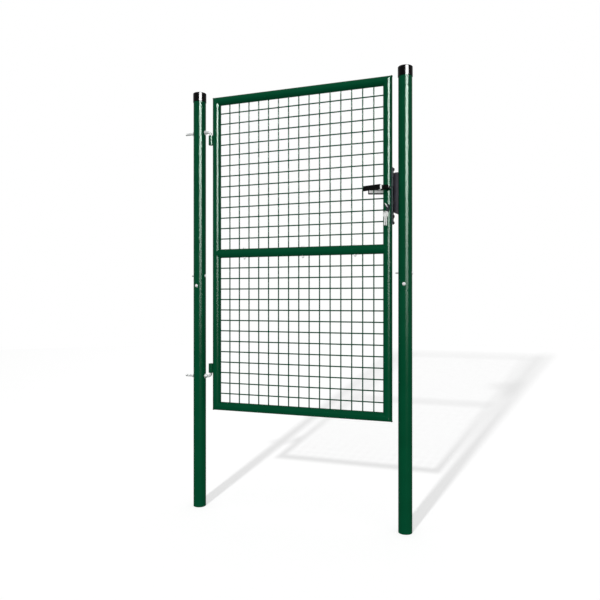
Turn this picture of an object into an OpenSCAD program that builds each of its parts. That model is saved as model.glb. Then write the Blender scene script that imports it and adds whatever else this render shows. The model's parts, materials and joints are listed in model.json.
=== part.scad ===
// Single-leaf garden gate of round steel tube with two welded mesh panels, hung between two round posts.
// Origin at the centre of the hinge post's foot, +X towards the lock post, -Y to the side the leaf opens to.

/* [Posts] */
// Outside diameter of a post
post_d = 60; // [50:1:76]
// Wall of a post
post_wall = 1.5; // [1.2:0.1:3]
// Height over the caps
post_h = 2000; // [1980:10:2200]
// Distance between the two posts' centre lines
post_spacing = 1000; // [980:10:1300]
// Height of the joint between a post's lower and upper half
post_joint_z = 1040; // [900:10:1100]
// Thickness of the disc that closes a post's foot
foot_t = 3; // [2:1:6]
// Length of the sleeve inside a post's joint
coupling_l = 200; // [150:10:300]
// Wall of that sleeve
coupling_wall = 1.5; // [1:0.1:3]
// Outside diameter of a cap
cap_d = 64; // [63:1:80]
// Height of a cap
cap_h = 43; // [30:1:60]
// Thickness of a cap's top
cap_top_t = 2; // [1.5:0.5:4]
// Rounding of a cap's top edge
cap_round = 3; // [2:1:6]

/* [Post fixings] */
// Height of the bolt that crosses a post, above the post's joint
cross_bolt_up = 75; // [60:1:100]
// Height of the screw on a post's front, above the post's joint
front_screw_up = 27; // [20:1:40]
// Thread diameter of the post fixings
fixing_d = 8; // [6:1:10]
// Head diameter of the post fixings
fixing_head_d = 15; // [12:1:18]
// Head height of the post fixings
fixing_head_h = 4; // [3:0.5:6]
// How far the cross bolt's end stands out
cross_bolt_out = 12; // [8:1:16]

/* [Leaf] */
// Diameter of the leaf's tubes
tube_d = 40; // [36:1:46]
// Wall of the leaf's tubes
tube_wall = 1.5; // [1.2:0.1:3]
// Height over the leaf's top and bottom rails
leaf_h = 1500; // [1300:10:1700]
// Distance from the posts' top down to the leaf's top edge
leaf_drop = 30; // [20:1:40]
// Gap between the hinge post and the leaf
hinge_gap = 44; // [40:1:50]
// Gap between the leaf and the lock post
lock_gap = 26; // [25:1:40]

/* [Mesh] */
// Distance from wire to wire
mesh_pitch = 50; // [40:1:60]
// Wire diameter
wire_d = 5; // [4:0.5:6]
// Sides of a modelled wire
wire_sides = 6; // [4:1:8]
// First upright wire's distance from the hinge stile's centre line
mesh_start = 69; // [60:1:75]
// Distance from the middle rail's edge to its next wire
mesh_rail_gap = 50; // [44:1:60]

/* [Hinges] */
// Distance from the leaf's top edge down to the upper hook's arm
upper_hook_inset = 162; // [120:1:200]
// Distance from the leaf's lower edge up to the lower hook's arm
lower_hook_inset = 158; // [120:1:200]
// Diameter of a hook's rod
hook_d = 12; // [10:0.5:12]
// Bend radius of a hook at its centre line
hook_bend_r = 15; // [14:1:18]
// How far a hook's thread reaches past the post's centre line
hook_back = 76; // [60:1:90]
// Length of the sleeves on the leaf
sleeve_l = 45; // [35:1:50]
// Outside diameter of the sleeves
sleeve_d = 24; // [20:1:26]
// Distance from a hook's arm to its sleeve's end
sleeve_off = 17; // [16:1:20]
// Thickness of a nut
nut_t = 8; // [6:0.5:9]
// Width of a nut across its flats
nut_af = 17; // [16:0.5:17]
// Diameter of a hook's washer
washer_d = 22; // [20:1:28]
// Thickness of a washer
washer_t = 2; // [1.5:0.5:2.5]

/* [Lock] */
// Height of the lever's spindle above the middle rail's centre line
spindle_up = 261; // [240:1:280]
// Distance from the spindle down to the lock cylinder
cylinder_drop = 79; // [76:1:85]
// Length of the lock's faceplate
faceplate_l = 245; // [235:5:260]
// Height of the faceplate's top end above the spindle
faceplate_up = 90; // [80:1:100]
// Width of the faceplate
faceplate_w = 24; // [20:1:26]
// How far the faceplate stands out of the stile
faceplate_out = 4; // [3:0.5:5]
// Thickness of the lock case inside the stile
case_t = 16; // [14:1:18]
// How far the latch bolt stands out of the faceplate
latch_out = 10; // [8:1:12]
// Height of the latch bolt
latch_h = 24; // [20:1:28]
// Thickness of the latch bolt and the dead bolt
bolt_t = 10; // [8:1:10]
// Height of the dead bolt
dead_bolt_h = 26; // [20:1:28]
// Length of the lock cylinder
cylinder_l = 64; // [56:1:70]

/* [Keeper] */
// Length of the keeper on the lock post
keeper_l = 180; // [165:1:190]
// Height of the keeper's top end above the spindle
keeper_up = 64.5; // [60:0.5:72]
// Width of the keeper
keeper_w = 44; // [40:1:48]
// Gap between the keeper and the faceplate
keeper_gap = 5.2; // [5:0.1:8]
// Depth of the keeper's pockets
pocket_depth = 10.8; // [10:0.1:12]

/* [Levers] */
// Distance of the spindle and the lock cylinder from the stile's middle, towards the post
lock_offset = 5; // [0:0.5:7]
// Distance from the spindle to a lever's free end
lever_reach = 103; // [85:1:115]
// Height of the grip
lever_h = 22; // [16:1:24]
// Thickness of the grip
lever_t = 9; // [7:0.5:11]
// Distance from the leaf's middle plane to the grip's middle
lever_off = 47; // [44:1:55]
// Height of the grip's middle above the spindle, where the crank ends
grip_rise = 3; // [0:0.5:5]
// Diameter of a lever's hub
hub_d = 20; // [18:1:28]
// Side of the square spindle
spindle_side = 8; // [7:1:9]

/* [Keys] */
// Length of a key's bow
bow_l = 26; // [20:1:30]
// Width of a key's bow
bow_w = 20; // [18:1:24]
// Thickness of a key
key_t = 2.2; // [1.8:0.1:2.6]
// Width of a key's blade
blade_w = 8; // [7:0.5:9]
// Length of a hanging key's blade
blade_l = 35; // [28:1:38]
// Diameter of the hole in a key's bow
key_hole_d = 7; // [6:0.5:7]
// Radius of the key ring
ring_r = 14; // [13:0.5:18]
// Diameter of the key ring's wire
ring_wire_d = 1.8; // [1.4:0.1:2]

/* [Hidden] */
$fn = 64;
eps = 0.5;                 // overshoot of a cut
seat = 0.1;                // gap between pieces that seat on each other
run = 0.3;                 // gap between pieces that turn or slide on each other
post_r = post_d / 2;
tube_r = tube_d / 2;
leaf_w = post_spacing - post_d - hinge_gap - lock_gap;
hinge_stile_x = post_r + hinge_gap + tube_r;
lock_stile_x = hinge_stile_x + leaf_w - tube_d;
leaf_top_z = post_h - leaf_drop;
leaf_z = leaf_top_z - leaf_h;
mid_rail_z = leaf_z + leaf_h / 2;
upper_hook_z = leaf_top_z - upper_hook_inset;
lower_hook_z = leaf_z + lower_hook_inset;
cross_bolt_z = post_joint_z + cross_bolt_up;
front_screw_z = post_joint_z + front_screw_up;
hinge_x = hinge_stile_x - tube_r - sleeve_d / 2;
lock_face_x = lock_stile_x + tube_r + faceplate_out;
lock_x = lock_stile_x + lock_offset;
post_top_z = post_h - cap_top_t;
coupling_z = post_joint_z - coupling_l * 0.4;
coupling_r = post_r - post_wall - seat;
hex_k = 2 / sqrt(3);       // a hexagon's width across corners over its width across flats
wire_off = wire_d * 0.4;   // crossing wires sink into each other a little
rail_bolt_x = [-269, 24, 269];     // from the leaf's centre line
rail_bolt_d = 8;
rail_head_h = 5.3;
rail_thread_out = 4;
rail_nut_t = 6.5;
rail_hex_af = 13;
leaf_mid_x = (hinge_stile_x + lock_stile_x) / 2;
upper_sleeve_z = upper_hook_z - sleeve_off - sleeve_l;
lower_sleeve_z = lower_hook_z + sleeve_off;
sleeve_bore_d = hook_d + 2 * run;
pin_l = sleeve_l - 3;      // straight part of a hook inside its sleeve
weld_t = 10;
spindle_z = mid_rail_z + spindle_up;
cylinder_z = spindle_z - cylinder_drop;
faceplate_top_z = spindle_z + faceplate_up;
faceplate_foot_z = faceplate_top_z - faceplate_l;
case_x = lock_stile_x - tube_r + tube_wall + 2.5;
case_end = 12;             // how far the faceplate passes the case at each end
latch_z = spindle_z + 11;
dead_bolt_z = cylinder_z + 13;
bolt_l = 36;
follower_d = 14;           // round hole in the case for the lock's follower
// faceplate screws: height, head diameter, washer diameter
face_screws = [[faceplate_top_z - 8, 13, 0], [faceplate_foot_z + 34, 13, 22], [faceplate_foot_z + 6, 12, 0]];
face_screw_out = 6;
profile_r = 8.5;           // lock cylinder: round part
profile_w = 10;            // lock cylinder: lower part
profile_h = 33;            // lock cylinder: full height
keeper_x = lock_face_x + keeper_gap;
keeper_top_z = spindle_z + keeper_up;
keeper_z = keeper_top_z - keeper_l;
keeper_ramp = 10;
keeper_chamfer = 13.8;     // slant of the keeper's lower end
keeper_saddle = 8.5;       // how far the keeper reaches round the post, past the post's nearest line
keeper_stop_l = 7;         // how far the stop reaches behind the faceplate
stop_gap = 0.6;            // between the stop and the faceplate's back edge
pocket_margin = 6;
keeper_screw_z = [keeper_z + 22, keeper_top_z - 15];
keeper_screw_d = 6;
keeper_head_d = 11;
keeper_head_h = 3.5;
rose_d = hub_d + 2;
rose_y = tube_r + 2.3;     // outer face of a rose
hub_y = rose_y + run;      // inner face of a lever's hub
hub_end = lever_off + 3;
neck_d = min(lever_h, hub_d);
crank_run = 16;             // length of the crank, from the hub to where the grip begins
grip_foot = grip_rise - lever_h / 2;
grip_drop = 4.6;            // fall of the grip from the crank to its free end
key_x = lock_x;
key_y = -(cylinder_l / 2);
bow_y = key_y - 6;         // where the inserted key's bow begins
bow_edge = 5;              // from the centre of a bow's hole to the bow's end
ring_play = 0.7;           // between the ring and the edge of a key's hole, at the middle of the key
ring_sag = key_hole_d / 2 - ring_wire_d / 2 - ring_play;
ring_y = bow_y - bow_l + bow_edge;
ring_lean = 2;             // the ring's centre lies this far beside the inserted key
ring_x = key_x + ring_lean;
ring_z = cylinder_z - ring_sag - sqrt(ring_r * ring_r - ring_lean * ring_lean);
hang_turn = [-20, -12];    // each hanging key's turn about the vertical
hang_x = [-5.6, 1.4];        // from the ring's centre

green = [0.01, 0.29, 0.18];
zinc = [0.75, 0.76, 0.78];
black = [0.03, 0.03, 0.03];
charcoal = [0.19, 0.18, 0.22];

// ---- shared shapes ----

// a round bar along X from x0 to x1
module bar_x(d, x0, x1) {
  translate([x0, 0, 0]) rotate([0, 90, 0]) cylinder(d = d, h = x1 - x0);
}

// a hexagon prism along X from x0 to x1
module hex_x(af, x0, x1) {
  translate([x0, 0, 0]) rotate([0, 90, 0]) rotate(30) cylinder(d = af * hex_k, h = x1 - x0, $fn = 6);
}

// an upright tube from z0 to z1
module tube_z(d, wall, z0, z1) {
  translate([0, 0, z0]) difference() {
    cylinder(d = d, h = z1 - z0);
    translate([0, 0, -eps]) cylinder(d = d - 2 * wall, h = z1 - z0 + 2 * eps);
  }
}

// a leaf tube along Z whose ends are cut at 45 degrees, with its long side at -X and its middle at z = 0
module mitred_tube(len) {
  intersection() {
    tube_z(tube_d, tube_wall, -len / 2, len / 2);
    rotate([90, 0, 0]) linear_extrude(height = tube_d + 2 * eps, center = true)
      polygon([[-tube_r, -len / 2], [-tube_r, len / 2], [tube_r, len / 2 - tube_d], [tube_r, tube_d - len / 2]]);
  }
}

// ---- posts ----

module post_holes(x) {
  translate([x, 0, cross_bolt_z]) bar_x(fixing_d + 2 * seat, -post_d, post_d);
  translate([x, 0, front_screw_z]) rotate([0, 0, -90]) bar_x(fixing_d + 2 * seat, 0, post_d);
}

module hook_holes() {
  for (z = [upper_hook_z, lower_hook_z])
    translate([0, 0, z]) bar_x(hook_d + 2 * seat, -post_d, post_d);
}

module post_lower(x) {
  translate([x, 0, 0]) {
    tube_z(post_d, post_wall, 0, post_joint_z);
    cylinder(d = post_d - post_wall, h = foot_t);
  }
}

module post_upper(x) {
  difference() {
    translate([x, 0, 0]) tube_z(post_d, post_wall, post_joint_z, post_top_z);
    post_holes(x);
  }
}

module post_coupling(x) {
  color(zinc) difference() {
    translate([x, 0, coupling_z]) tube_z(2 * coupling_r, coupling_wall, 0, coupling_l);
    post_holes(x);
  }
}

module post_cap(x) {
  color(black) translate([x, 0, post_h - cap_h]) rotate_extrude() {
    difference() {
      union() {
        square([cap_d / 2, cap_h - cap_round]);
        square([cap_d / 2 - cap_round, cap_h]);
        translate([cap_d / 2 - cap_round, cap_h - cap_round]) circle(r = cap_round);
      }
      translate([-cap_d, -eps]) square([cap_d + post_r + 2 * seat, cap_h - cap_top_t + eps]);
      translate([-cap_d, -eps]) square([cap_d, cap_h + 2 * eps]);
    }
  }
}

module post_bolts(x) {
  color(zinc) {
    translate([x, 0, cross_bolt_z]) {
      bar_x(fixing_d, -post_r - cross_bolt_out, post_r + 1);
      bar_x(fixing_head_d, post_r, post_r + fixing_head_h);
    }
    translate([x, 0, front_screw_z]) rotate([0, 0, -90]) {
      bar_x(fixing_d, post_r - 14, post_r + 1);
      bar_x(fixing_head_d, post_r, post_r + fixing_head_h);
    }
  }
}

module hinge_post_lower() {
  color(green) difference() {
    post_lower(0);
    hook_holes();
  }
}
module hinge_post_upper() {
  color(green) difference() {
    post_upper(0);
    hook_holes();
  }
}
module hinge_post_coupling() { post_coupling(0); }
module hinge_post_cap() { post_cap(0); }
module hinge_post_bolts() { post_bolts(0); }

module lock_post_lower() { color(green) post_lower(post_spacing); }
module lock_post_upper() {
  color(green) difference() {
    post_upper(post_spacing);
    for (z = keeper_screw_z) translate([0, 0, z]) bar_x(keeper_screw_d + 2 * seat, keeper_x, post_spacing);
  }
}
module lock_post_coupling() { post_coupling(post_spacing); }
module lock_post_cap() { post_cap(post_spacing); }
module lock_post_bolts() { post_bolts(post_spacing); }

// ---- hinges ----

// an L-shaped hook: threaded arm along X through the post, a quarter bend, and a pin that points to side 1 or -1
module hinge_hook(z, side) {
  color(zinc) translate([0, 0, z]) mirror([0, 0, side > 0 ? 0 : 1]) {
    bar_x(hook_d, -hook_back, hinge_x - hook_bend_r);
    translate([hinge_x - hook_bend_r, 0, hook_bend_r]) rotate([90, 0, 0]) rotate([0, 0, -90])
      rotate_extrude(angle = 90) translate([hook_bend_r, 0]) circle(d = hook_d);
    translate([hinge_x, 0, hook_bend_r]) cylinder(d = hook_d, h = pin_l + sleeve_off - hook_bend_r);
  }
}
module upper_hinge_hook() { hinge_hook(upper_hook_z, -1); }
module lower_hinge_hook() { hinge_hook(lower_hook_z, 1); }

// on each hook, one washer and one nut on either side of the post
module hinge_nuts() {
  color(zinc) for (z = [upper_hook_z, lower_hook_z], s = [-1, 1])
    translate([s * (post_r + washer_t + nut_t / 2), 0, z]) difference() {
      hex_x(nut_af, -nut_t / 2, nut_t / 2);
      bar_x(hook_d + 2 * seat, -nut_t, nut_t);
    }
}
module hinge_washers() {
  color(zinc) for (z = [upper_hook_z, lower_hook_z], s = [-1, 1])
    translate([s * (post_r + washer_t / 2), 0, z]) difference() {
      bar_x(washer_d, -washer_t / 2, washer_t / 2);
      bar_x(hook_d + 2 * seat, -washer_t, washer_t);
    }
}

// a sleeve that turns on its hook's pin, with the weld that holds it to the stile
module hinge_sleeve(z) {
  color(green) translate([0, 0, z]) difference() {
    union() {
      translate([hinge_x, 0, 0]) cylinder(d = sleeve_d, h = sleeve_l);
      translate([hinge_x, -weld_t / 2, 1]) cube([sleeve_d / 2 + tube_r / 2, weld_t, sleeve_l - 2]);
    }
    translate([hinge_x, 0, -eps]) cylinder(d = sleeve_bore_d, h = sleeve_l + 2 * eps);
    translate([hinge_stile_x, 0, -eps]) cylinder(r = tube_r + seat, h = sleeve_l + 2 * eps);
  }
}
module upper_hinge_sleeve() { hinge_sleeve(upper_sleeve_z); }
module lower_hinge_sleeve() { hinge_sleeve(lower_sleeve_z); }

// ---- leaf frame ----

module hinge_stile() { color(green) translate([hinge_stile_x, 0, mid_rail_z]) mitred_tube(leaf_h); }

module lock_stile() {
  color(green) difference() {
    translate([lock_stile_x, 0, mid_rail_z]) mirror([1, 0, 0]) mitred_tube(leaf_h);
    // slot for the lock case, and the holes for the spindle and the lock cylinder
    translate([lock_stile_x, -case_t / 2 - run, faceplate_foot_z + case_end - run])
      cube([tube_d, case_t + 2 * run, faceplate_l - 2 * case_end + 2 * run]);
    translate([lock_x, 0, spindle_z]) rotate([90, 0, 0])
      cylinder(d = follower_d, h = tube_d + 2 * eps, center = true);
    cylinder_profile(seat, tube_d);
  }
}

module rail(z, up) {
  color(green) translate([leaf_mid_x, 0, z]) rotate([0, up ? 90 : -90, 0]) mitred_tube(leaf_w);
}
module top_rail() { rail(leaf_top_z - tube_r, true); }
module bottom_rail() { rail(leaf_z + tube_r, false); }

module middle_rail() {
  color(green) difference() {
    translate([0, 0, mid_rail_z]) {
      bar_x(tube_d, hinge_stile_x, lock_stile_x);
    }
    translate([0, 0, mid_rail_z]) bar_x(tube_d - 2 * tube_wall, hinge_stile_x - eps, lock_stile_x + eps);
    for (x = [hinge_stile_x, lock_stile_x]) translate([x, 0, mid_rail_z - tube_d])
      cylinder(r = tube_r + seat, h = 2 * tube_d);
    for (x = rail_bolt_x) translate([leaf_mid_x + x, 0, mid_rail_z - tube_d])
      cylinder(d = rail_bolt_d + 2 * seat, h = 2 * tube_d);
  }
}

// upright bolts through the middle rail, heads on top
module middle_rail_bolts() {
  color(zinc) for (x = rail_bolt_x) translate([leaf_mid_x + x, 0, mid_rail_z]) {
    translate([0, 0, -tube_r - rail_nut_t - rail_thread_out])
      cylinder(d = rail_bolt_d, h = tube_d + rail_nut_t + rail_thread_out + 1);
    translate([0, 0, tube_r]) cylinder(d = rail_hex_af * hex_k, h = rail_head_h, $fn = 6);
  }
}
module middle_rail_nuts() {
  color(zinc) for (x = rail_bolt_x)
    translate([leaf_mid_x + x, 0, mid_rail_z - tube_r - rail_nut_t]) difference() {
      cylinder(d = rail_hex_af * hex_k, h = rail_nut_t, $fn = 6);
      translate([0, 0, -eps]) cylinder(d = rail_bolt_d + 2 * seat, h = rail_nut_t + 2 * eps);
    }
}

// ---- mesh ----

// one welded panel from z0 to z1, with its cross wires counted from first_z in the direction of step
module mesh_panel(z0, z1, first_z, step) {
  x0 = hinge_stile_x + tube_r + seat;
  x1 = lock_stile_x - tube_r - seat;
  uprights = floor((x1 - hinge_stile_x - mesh_start) / mesh_pitch);
  crossings = floor((z1 - z0 - mesh_rail_gap) / mesh_pitch - 0.3);
  color(green) union() {
    for (i = [0 : uprights]) translate([hinge_stile_x + mesh_start + i * mesh_pitch, wire_off, z0 + seat])
      cylinder(d = wire_d, h = z1 - z0 - 2 * seat, $fn = wire_sides);
    for (i = [0 : crossings - 1]) translate([x0, -wire_off, first_z + step * i * mesh_pitch])
      rotate([0, 90, 0]) cylinder(d = wire_d, h = x1 - x0, $fn = wire_sides);
  }
}
module upper_mesh() {
  z0 = mid_rail_z + tube_r;
  mesh_panel(z0, leaf_top_z - tube_d, z0 + mesh_rail_gap, 1);
}
module lower_mesh() {
  z1 = mid_rail_z - tube_r;
  mesh_panel(leaf_z + tube_d, z1, z1 - mesh_rail_gap, -1);
}

// ---- lock ----

// the lock cylinder's keyhole shape, len long across the leaf and grown by grow
module cylinder_profile(grow, len) {
  translate([lock_x, 0, cylinder_z]) rotate([90, 0, 0]) linear_extrude(height = len, center = true) union() {
    circle(r = profile_r + grow);
    translate([-profile_w / 2 - grow, profile_r + grow - profile_h - 2 * grow])
      square([profile_w + 2 * grow, profile_h - profile_r]);
  }
}

module lock_case() {
  color(black) difference() {
    union() {
      difference() {
        translate([lock_stile_x + tube_r / 2, -faceplate_w / 2, faceplate_foot_z])
          cube([tube_r / 2 + faceplate_out, faceplate_w, faceplate_l]);
        translate([lock_stile_x, 0, faceplate_foot_z - eps]) cylinder(r = tube_r + seat, h = faceplate_l + 2 * eps);
      }
      translate([case_x, -case_t / 2, faceplate_foot_z + case_end])
        cube([lock_face_x - 1 - case_x, case_t, faceplate_l - 2 * case_end]);
    }
    bolt_channels();
    translate([lock_x, 0, spindle_z]) rotate([90, 0, 0])
      cylinder(d = follower_d, h = tube_d, center = true);
    cylinder_profile(seat, tube_d);
  }
}

// the channels that the latch bolt and the dead bolt slide in
module bolt_channels() {
  for (b = [[latch_z, latch_h], [dead_bolt_z, dead_bolt_h]])
    translate([lock_face_x - bolt_l - latch_out, -bolt_t / 2 - run, b[0] - run])
      cube([bolt_l + latch_out + eps, bolt_t + 2 * run, b[1] + 2 * run]);
}

module faceplate_screws() {
  color(black) for (s = face_screws) translate([0, 0, s[0]]) {
    if (s[2] > 0) bar_x(s[2], lock_face_x, lock_face_x + 2);
    bar_x(s[1], lock_face_x, lock_face_x + face_screw_out);
  }
}

module dead_bolt() {
  color(zinc) translate([lock_face_x + 1 - bolt_l, -bolt_t / 2, dead_bolt_z]) cube([bolt_l, bolt_t, dead_bolt_h]);
}

// flat towards -Y, slanted towards +Y so that it rides over the keeper when the leaf closes
module latch_bolt() {
  color(zinc) translate([0, 0, latch_z]) linear_extrude(height = latch_h)
    polygon([[lock_face_x + latch_out - bolt_l, -bolt_t / 2], [lock_face_x + latch_out, -bolt_t / 2],
             [lock_face_x + latch_out, -bolt_t / 2 + 2], [lock_face_x + 1, bolt_t / 2],
             [lock_face_x + latch_out - bolt_l, bolt_t / 2]]);
}

module rose(side) {
  color(black) difference() {
    translate([lock_x, 0, spindle_z]) rotate([side < 0 ? 90 : -90, 0, 0]) translate([0, 0, tube_r / 2])
      difference() {
        cylinder(d = rose_d, h = rose_y - tube_r / 2);
        translate([0, 0, -eps]) cylinder(d = follower_d, h = rose_y);
      }
    translate([lock_stile_x, 0, spindle_z - rose_d]) cylinder(r = tube_r + seat, h = 2 * rose_d);
  }
}
module front_rose() { rose(-1); }
module back_rose() { rose(1); }

module lock_cylinder() {
  color(zinc) difference() {
    cylinder_profile(0, cylinder_l);
    // keyway
    translate([key_x - key_t / 2 - seat, key_y - eps, cylinder_z - blade_w / 2 - seat])
      cube([key_t + 2 * seat, 12 + eps, blade_w + 2 * seat]);
  }
}

// ---- keeper ----

module keeper() {
  half = keeper_w / 2;
  back_x = post_spacing - post_r + keeper_saddle;
  color(charcoal) difference() {
    translate([0, 0, keeper_z]) linear_extrude(height = keeper_l)
      polygon([[keeper_x, -half + keeper_ramp], [keeper_x + keeper_ramp, -half], [back_x, -half], [back_x, half],
               [lock_face_x - keeper_stop_l, half],
               [lock_face_x - keeper_stop_l, faceplate_w / 2 + stop_gap], [keeper_x, faceplate_w / 2 + stop_gap]]);
    translate([post_spacing, 0, keeper_z - eps]) cylinder(r = post_r + seat, h = keeper_l + 2 * eps);
    // slanted lower end, lowest at the post
    translate([keeper_x, 0, keeper_z + keeper_chamfer]) rotate([0, 45, 0])
      translate([-keeper_l, -keeper_w, -keeper_l]) cube([2 * keeper_l, 2 * keeper_w, keeper_l]);
    // pockets for the latch bolt, open to the side the leaf opens to, and for the dead bolt
    translate([keeper_x - eps, -half - eps, latch_z - pocket_margin])
      cube([pocket_depth + eps, half + eps + bolt_t / 2 + pocket_margin / 2, latch_h + 2 * pocket_margin]);
    translate([keeper_x - eps, -bolt_t / 2 - pocket_margin / 2, dead_bolt_z - pocket_margin])
      cube([pocket_depth + eps, bolt_t + pocket_margin, dead_bolt_h + 2 * pocket_margin]);
    for (z = keeper_screw_z) translate([0, 0, z]) {
      bar_x(keeper_screw_d + 2 * seat, keeper_x, post_spacing);
      bar_x(keeper_head_d + 2 * run, keeper_x - eps, keeper_x + keeper_head_h + seat);
    }
  }
}
module keeper_screws() {
  color(zinc) for (z = keeper_screw_z) translate([0, 0, z]) {
    bar_x(keeper_head_d, keeper_x + seat, keeper_x + keeper_head_h);
    bar_x(keeper_screw_d, keeper_x + 1, post_spacing - post_r + 10);
  }
}

// ---- levers ----

// hub on the spindle, a crank outwards, and a flat grip that drops a little towards its free end;
// the back one is the same casting turned over
module lever(side) {
  color(black) translate([lock_x, 0, spindle_z]) rotate([side < 0 ? 0 : 180, 0, 0]) difference() {
    union() {
      rotate([90, 0, 0]) translate([0, 0, hub_y]) cylinder(d = hub_d, h = hub_end - hub_y);
      hull() {
        rotate([90, 0, 0]) translate([-4, 0, lever_off - 6]) cylinder(d = neck_d, h = 8, $fn = 32);
        translate([-hub_d / 2 - crank_run, -lever_off - lever_t / 2, grip_foot]) cube([1, lever_t, lever_h]);
      }
      hull() {
        translate([-hub_d / 2 - crank_run, -lever_off - lever_t / 2, grip_foot]) cube([1, lever_t, lever_h]);
        translate([-lever_reach, -lever_off - lever_t / 2, grip_foot - grip_drop]) cube([1, lever_t, lever_h]);
      }
    }
    translate([-spindle_side / 2 - seat, -lever_off, -spindle_side / 2 - seat])
      cube([spindle_side + 2 * seat, lever_off, spindle_side + 2 * seat]);
  }
}
module front_lever() { lever(-1); }
module back_lever() { lever(1); }
module spindle() {
  color(zinc) translate([lock_x, 0, spindle_z])
    cube([spindle_side, 2 * lever_off - 2, spindle_side], center = true);
}

// ---- keys ----

// a flat key in the YZ plane: bow from y = 0 to -bow_l, blade from y = 0 to +len, hole near the bow's end
module key_blank(len) {
  rotate([90, 0, 90]) translate([0, 0, -key_t / 2]) difference() {
    linear_extrude(height = key_t) union() {
      translate([-bow_l / 2, 0]) intersection() {
        circle(d = bow_l);
        square([bow_l, bow_w], center = true);
      }
      translate([-2, -blade_w / 2]) square([len + 2, blade_w]);
    }
    translate([bow_edge - bow_l, 0, -eps]) cylinder(d = key_hole_d, h = key_t + 2 * eps);
  }
}

module inserted_key() {
  color(zinc) translate([key_x, bow_y, cylinder_z]) key_blank(key_y - bow_y + 11);
}

module key_ring() {
  color(zinc) translate([ring_x, ring_y, ring_z]) rotate([90, 0, 0])
    rotate_extrude() translate([ring_r, 0]) circle(d = ring_wire_d, $fn = 24);
}

// two keys hanging on the ring, blades down
module hanging_keys() {
  color(zinc) for (i = [0, 1]) {
    z = ring_z - sqrt(ring_r * ring_r - hang_x[i] * hang_x[i]) - ring_sag;
    translate([ring_x + hang_x[i], ring_y, z]) rotate([0, 0, hang_turn[i]])
      rotate([-90, 0, 0]) translate([0, bow_l - bow_edge, 0]) key_blank(blade_l);
  }
}

hinge_post_lower();
hinge_post_upper();
hinge_post_coupling();
hinge_post_cap();
hinge_post_bolts();
lock_post_lower();
lock_post_upper();
lock_post_coupling();
lock_post_cap();
lock_post_bolts();
upper_hinge_hook();
lower_hinge_hook();
hinge_nuts();
hinge_washers();
keeper();
keeper_screws();
hinge_stile();
lock_stile();
top_rail();
middle_rail();
bottom_rail();
upper_mesh();
lower_mesh();
upper_hinge_sleeve();
lower_hinge_sleeve();
middle_rail_bolts();
middle_rail_nuts();
lock_case();
faceplate_screws();
dead_bolt();
front_rose();
back_rose();
lock_cylinder();
inserted_key();
front_lever();
back_lever();
spindle();
latch_bolt();
key_ring();
hanging_keys();
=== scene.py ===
import json
import math

import bmesh
import bpy
import numpy as np
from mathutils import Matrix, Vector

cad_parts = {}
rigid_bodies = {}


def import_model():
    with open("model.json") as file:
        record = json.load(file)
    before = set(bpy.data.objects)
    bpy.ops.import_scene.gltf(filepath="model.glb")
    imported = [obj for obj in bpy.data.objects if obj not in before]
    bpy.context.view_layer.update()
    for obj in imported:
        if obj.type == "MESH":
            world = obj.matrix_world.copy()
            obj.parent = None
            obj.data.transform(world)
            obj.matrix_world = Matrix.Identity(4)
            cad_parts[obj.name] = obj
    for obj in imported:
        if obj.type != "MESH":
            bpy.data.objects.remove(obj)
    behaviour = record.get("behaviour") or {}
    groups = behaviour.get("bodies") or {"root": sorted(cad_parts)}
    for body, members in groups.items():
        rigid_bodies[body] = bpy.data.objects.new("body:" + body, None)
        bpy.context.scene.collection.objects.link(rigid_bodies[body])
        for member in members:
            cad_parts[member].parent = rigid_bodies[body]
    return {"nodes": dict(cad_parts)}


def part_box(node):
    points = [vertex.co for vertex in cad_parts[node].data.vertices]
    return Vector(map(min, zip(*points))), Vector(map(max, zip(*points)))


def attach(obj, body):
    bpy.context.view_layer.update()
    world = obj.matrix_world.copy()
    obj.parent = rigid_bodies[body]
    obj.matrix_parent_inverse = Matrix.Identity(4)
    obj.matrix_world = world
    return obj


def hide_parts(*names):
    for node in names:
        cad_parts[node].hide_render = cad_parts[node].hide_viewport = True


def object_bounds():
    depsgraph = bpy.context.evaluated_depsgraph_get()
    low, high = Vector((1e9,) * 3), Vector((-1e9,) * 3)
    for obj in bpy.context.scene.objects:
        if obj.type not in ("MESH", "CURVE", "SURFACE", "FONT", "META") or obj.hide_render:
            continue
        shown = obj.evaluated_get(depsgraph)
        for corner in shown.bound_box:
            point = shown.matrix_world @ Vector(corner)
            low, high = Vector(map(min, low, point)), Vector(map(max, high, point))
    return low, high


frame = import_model()
cadBox = [list(corner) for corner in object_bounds()]
nodes = frame["nodes"]
mm = 0.001
fullTurn = 2 * math.pi
smooth = 35      # degrees; edges that turn further than this stay sharp
print("frame loaded:", len(nodes), "nodes")


def nodeBox(name):
    # lowest and highest corner of a CAD node, in millimetres
    low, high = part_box(name)
    return np.array(low) * 1000, np.array(high) * 1000


def middle(name):
    # centre of the node's box
    low, high = nodeBox(name)
    return (low + high) / 2


# A surface is (points[rows, columns, 3], rows closed, columns closed, flat ends), with its lengths in mm.

def place(local, centre, axis):
    # local x, y, z become the two cross directions and the length along the named axis, which "-" turns round
    local = np.array(local, float)
    if axis[0] == "-":
        local[..., 2] *= -1
    order = {"x": (2, 0, 1), "y": (1, 2, 0), "z": (0, 1, 2)}[axis[-1]]
    return local[..., order] + np.array(centre, float)


def around(count):
    # evenly spaced angles, once round
    return np.arange(count) * fullTurn / count


def polar(radius, angle, *height):
    # distances and angles round an axis become cross positions, followed by the height where there is one
    return np.stack([radius * np.cos(angle), radius * np.sin(angle), *height], -1)


def turned(profile, centre=(0, 0, 0), axis="z", count=64, closed=False):
    # surface of revolution: each profile point (radius, height) is carried once round the axis
    profile = np.asarray(profile, float)
    angle = around(count)
    radius, height = profile[:, 0, None], profile[:, 1, None]
    return place(polar(radius, angle, height + 0 * angle), centre, axis), closed, True, False


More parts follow.
